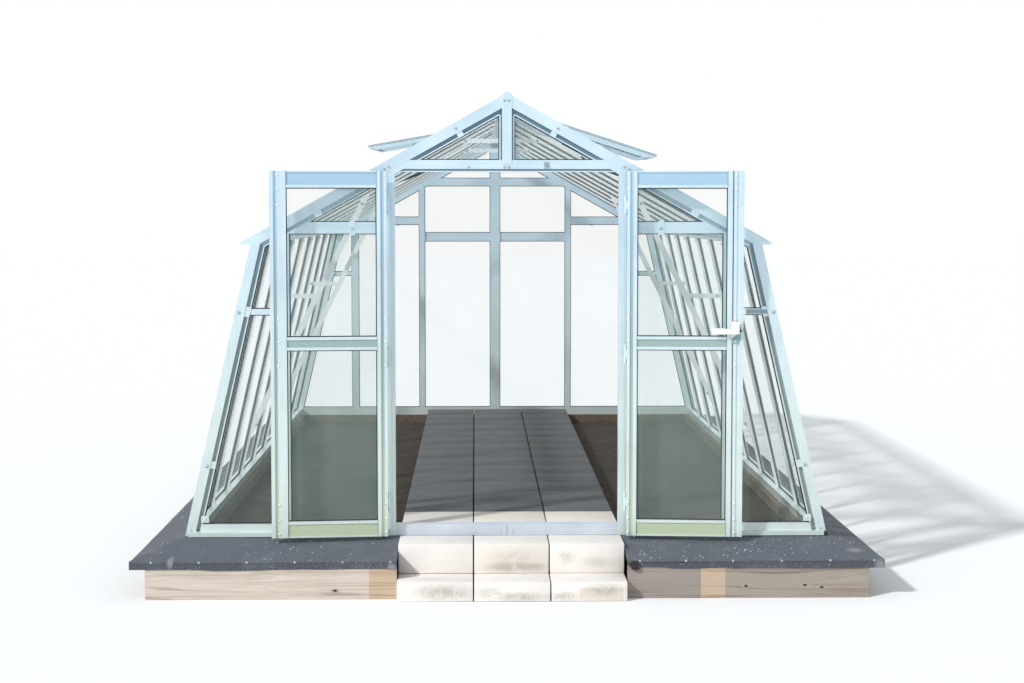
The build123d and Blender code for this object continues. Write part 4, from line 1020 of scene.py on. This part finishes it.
def hang(s, out):
    """Height of the free edge against its line."""
    broad = 0.006 * noise.noise(Vector((s * 2.3, out, 7.0)))
    return broad + 0.003 * noise.noise(Vector((s * 9.0, 1.0, out))) - 0.005


FLAP_TOP = 0.181
FLAP = ((0.559, FLAP_TOP), (0.603, 0.177), (0.611, 0.14), (0.596, 0.133), (0.572, 0.137))


def on_flap(u, v, depth):
    return (u, FRONT - FRONT_LEDGE - depth - (FLAP_TOP - v) * 0.12, v)


def felt_run(name, node, ends, splay, section, to_world, curl=0.0):
    """Felt along one side.

    splay is how far each end runs on for each metre out; curl lifts the first end, with a flap folded back.
    """
    mesh = bmesh.new()
    if curl:
        add_rounded_prism(mesh, FLAP, on_flap, (-0.001, 0.002), 0.0008)
    count = max(4, int((ends[1] - ends[0]) / 0.03))
    rows = []
    for i in range(count + 1):
        share = i / count
        row = []
        for out, z, free in section:
            start = ends[0] - splay[0] * out
            s = start + (ends[1] + splay[1] * out - start) * share
            edge = min(1.0, min(share, 1 - share) * count / 2)
            lift = curl * max(0.0, 1 - (s - start) / 0.11) ** 2 * max(0.0, free - 1)
            point = Vector(to_world(s, out, z))
            ripple = noise.noise(point * 3.1) * 0.6 + noise.noise(point * 9.0) * 0.4
            sink = free * edge * (0.0028 + 0.004 * ripple)
            if free > 1.0:
                point = to_world(s, out - sink, z + (hang(s, out) if free > 1.5 else 0.0) + lift)
            else:
                point = to_world(s, out, z - sink)
            row.append(mesh.verts.new(point))
        rows.append(row)
    for near, far in zip(rows, rows[1:]):
        join_rings(mesh, near, far)
    mesh.faces.new(rows[0])
    mesh.faces.new(rows[-1])
    made = piece(name, mesh, felt, sharp=50)
    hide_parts(node)


STEP_GAP = (-0.518, 0.556)
CORNER_SPLAY = SIDE_LEDGE / FRONT_LEDGE
front_section = felt_section(FRONT_LEDGE, FRONT_LEDGE - 0.001, FRONT_LEDGE - 0.01)
side_section = felt_section(SIDE_LEDGE, SIDE_LEDGE - 0.003, SIDE_LEDGE - 0.072)


def felt_side(origin, outwards, run):
    """From along, out and up on one side of the base to the world."""
    def to_world(s, out, z):
        reach = origin + outwards * out
        return (s, reach, z) if run == 0 else (reach, s, z)
    return to_world


front_felt = felt_side(FRONT, -1, 0)
rear_felt = felt_side(REAR, 1, 0)
left_felt = felt_side(-FOOT_X, -1, 1)
right_felt = felt_side(FOOT_X, 1, 1)
felt_run("felt_front_left", "front_ledge", (-FOOT_X, STEP_GAP[0]), (CORNER_SPLAY, 0), front_section,
         front_felt)
felt_run("felt_front_right", "front_ledge", (STEP_GAP[1], FOOT_X), (0, CORNER_SPLAY), front_section,
         front_felt, 0.016)
felt_run("felt_left", "side_ledge", (FRONT, REAR), (1 / CORNER_SPLAY, 1), side_section, left_felt)
felt_run("felt_right", "side_ledge", (FRONT, REAR), (1 / CORNER_SPLAY, 1), side_section, right_felt)
felt_run("felt_rear", "rear_ledge", (-FOOT_X, FOOT_X), (1, 1), side_section, rear_felt)

NAIL_Z = 0.1745
NAIL_PITCH = 0.2214
SIDE_NAIL_OUT = SIDE_LEDGE - 0.0065
mesh = bmesh.new()
nails = [((x, FRONT - FRONT_LEDGE + 0.003), (0, -1, 0)) for x in
         (-1.654, -1.432, -1.211, -0.99, -0.768, -0.547, 0.612, 0.826, 1.045, 1.273, 1.5, 1.705)]
nails += [((side * (FOOT_X + SIDE_NAIL_OUT), FRONT - 0.25 + k * NAIL_PITCH), (side, 0, 0))
          for k in range(27) for side in (-1, 1)]
nails += [((-FOOT_X + k * NAIL_PITCH, REAR + SIDE_NAIL_OUT), (0, 1, 0)) for k in range(15)]
for (x, y), out in nails:
    add_head(mesh, DOME, (x, y, NAIL_Z), out, 0.0052, 0.003)
for x in (0.6132, 1.5016):
    add_head(mesh, DOME, (x, FRONT - 0.03, FOOT_Z - 0.006), (0, -0.14, 1), 0.0052, 0.0025)
piece("felt_nails", mesh, zinc)

# Pale grit caught on the felt
chance = random.Random(11)
mesh = bmesh.new()


def scatter(count, starts, outs, slope, to_world):
    for _ in range(count):
        out = chance.uniform(*outs)
        point = to_world(chance.uniform(*starts), out, FOOT_Z - slope * out - 0.0035)
        size = chance.uniform(0.0013, 0.003)
        matrix = Matrix.Translation(point) @ Matrix.Diagonal((size * chance.uniform(0.8, 1.7), size, size, 1))
        bmesh.ops.create_icosphere(mesh, subdivisions=1, radius=1, matrix=matrix)


front_slope = LEDGE_FALL / FRONT_LEDGE
side_slope = LEDGE_FALL / SIDE_LEDGE
front_outs = (0.05, FRONT_LEDGE - 0.012)
side_outs = (0.02, SIDE_LEDGE - 0.015)
scatter(90, (-1.66, STEP_GAP[0] - 0.01), front_outs, front_slope, front_felt)
scatter(120, (STEP_GAP[1] + 0.01, 1.66), front_outs, front_slope, front_felt)
scatter(70, (FRONT, REAR), side_outs, side_slope, left_felt)
scatter(70, (FRONT, REAR), side_outs, side_slope, right_felt)
scatter(40, (-FOOT_X, FOOT_X), side_outs, side_slope, rear_felt)
piece("felt_grit", mesh, grit)


# Blocks, slabs and soil

def lay_block(mesh, low, high, bevel, seed):
    """A cast block: rounded edges, set very slightly out of true inside its own space."""
    shift = Vector([0.0012 * noise.noise(Vector((seed * 3.7, axis * 5.1, 2.0))) for axis in range(3)])
    shift.z = -abs(shift.z)
    trim = 0.0006
    for vert in add_block(mesh, [a + trim for a in low], [b - trim for b in high], bevel):
        if vert.co.z > low[2] + 0.02:
            vert.co += shift + Vector((0, 0.0008, -0.0008)) * noise.noise(vert.co * 14.0)


def cast_blocks(name, material, bevel, columns, rows, heights, seed):
    """Blocks as one piece, one where each column's span of X meets each row's span of Y."""
    mesh = bmesh.new()
    for row, (y0, y1) in enumerate(rows):
        for k, (x0, x1) in enumerate(columns):
            low, high = (x0, y0, heights[0]), (x1, y1, heights[1])
            lay_block(mesh, low, high, bevel, seed + row * len(columns) + k)
    return piece(name, mesh, material, sharp=40)


BLOCK = 0.352
PITCH = 0.357
STEP_LEFT = -0.516
LOWER_TOP = 0.093
STEP_COLUMNS = [(STEP_LEFT + k * PITCH, STEP_LEFT + k * PITCH + BLOCK) for k in range(3)]
made = cast_blocks("step_lower_blocks", concrete, 0.0045, STEP_COLUMNS,
                   [(LOWER_FACE_Y, FRONT)], (0.0, LOWER_TOP), 0)
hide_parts("lower_step")
made = cast_blocks("step_upper_blocks", concrete, 0.0045, STEP_COLUMNS,
                   [(UPPER_FACE_Y, FRONT)], (LOWER_TOP, FOOT_Z), 7)
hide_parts("upper_step")

BED_X = 1.455
BED_Y = 2.65
BED_TOP = 0.19
PAVING_TOP = 0.281
DOORWAY_END = -2.304
AISLE_FRONT = -2.3
AISLE_ROWS = 14
ROW_PITCH = (BED_Y - AISLE_FRONT) / AISLE_ROWS
PAVING_COLUMNS = ((-0.51, -0.164), (-0.159, 0.193), (0.198, 0.54))
made = cast_blocks("doorway_blocks", paving_concrete, 0.003, PAVING_COLUMNS,
                   [(-BED_Y, DOORWAY_END)], (BED_TOP, PAVING_TOP), 20)
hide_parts("doorway_paving")
starts = [AISLE_FRONT + row * ROW_PITCH for row in range(AISLE_ROWS)]
made = cast_blocks("aisle_slabs", dark_concrete, 0.003, PAVING_COLUMNS,
                   [(y, y + ROW_PITCH - 0.004) for y in starts], (BED_TOP, PAVING_TOP), 40)
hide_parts("aisle_paving")

# Soil inside the base, raked level but lumpy, in cells across and deep
across, deep = 96, 176
mesh = bmesh.new()
grid = []
for i in range(across + 1):
    x = -BED_X + 2 * BED_X * i / across
    column = []
    for j in range(deep + 1):
        y = -BED_Y + 2 * BED_Y * j / deep
        lump = noise.fractal(Vector((x * 7, y * 7, 0)), 0.9, 2.1, 5)
        column.append(mesh.verts.new((x, y, BED_TOP - 0.004 - 0.01 * max(0.0, 0.5 - lump))))
    grid.append(column)
for i in range(across):
    for j in range(deep):
        mesh.faces.new((grid[i][j], grid[i + 1][j], grid[i + 1][j + 1], grid[i][j + 1]))
rim = [edge for edge in mesh.edges if edge.is_boundary]
bmesh.ops.extrude_edge_only(mesh, edges=rim)
foot = [edge for edge in mesh.edges if edge.is_boundary]
for edge in foot:
    for vert in edge.verts:
        vert.co.z = 0.002
bmesh.ops.contextual_create(mesh, geom=foot)
made = piece("bed_soil", mesh, soil, sharp=60)
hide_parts("bed_fill")


# Camera, light and backdrop

camera_data = bpy.data.cameras.new("camera")
camera_data.lens = 67.22
camera_data.sensor_width = 36.0
camera = stand("camera", camera_data)
camera.location = (-0.153, -11.895, 1.807)
camera.rotation_euler = (radians(90 - 3.964), 0, radians(-1.11))
scene.camera = camera

sun_data = bpy.data.lights.new("sun", "SUN")
sun_data.energy = 2.6
sun_data.angle = radians(4)
sun = stand("sun", sun_data)
sun.rotation_euler = (radians(55), 0, radians(-49))

# The world lights the object at 0.6, and looks white to the camera, in metal and through glass
world = bpy.data.worlds.new("world")
scene.world = world
sky = Nodes(world)
light = sky.tree.nodes["Background"]
sky.connect(light, {"Color": (0.9, 0.96, 1.0, 1), "Strength": 0.6})
backdrop = sky.add("Background", {"Color": (1, 1, 1, 1), "Strength": 1.0})
rays = sky.add("LightPath", {}).outputs
seen = sky.maths("MAXIMUM", rays["Is Camera Ray"],
                 sky.maths("MAXIMUM", rays["Is Glossy Ray"], rays["Is Transmission Ray"]))
blend = sky.add("MixShader", {"Fac": seen, 1: light.outputs[0], 2: backdrop.outputs[0]})
sky.connect(sky.tree.nodes["World Output"], {"Surface": blend.outputs["Shader"]})

floor_data = bpy.data.meshes.new("floor")
floor_data.from_pydata([(x, y, 0) for x, y in rectangle(-60, -60, 60, 60)], [], [range(4)])
floor_data.materials.append(Finish("floor", Base_Color=(0.96, 0.96, 0.96, 1), Roughness=1.0).material)
floor = stand("floor", floor_data)
floor.location.z = -0.001

scene.view_settings.view_transform = "Standard"
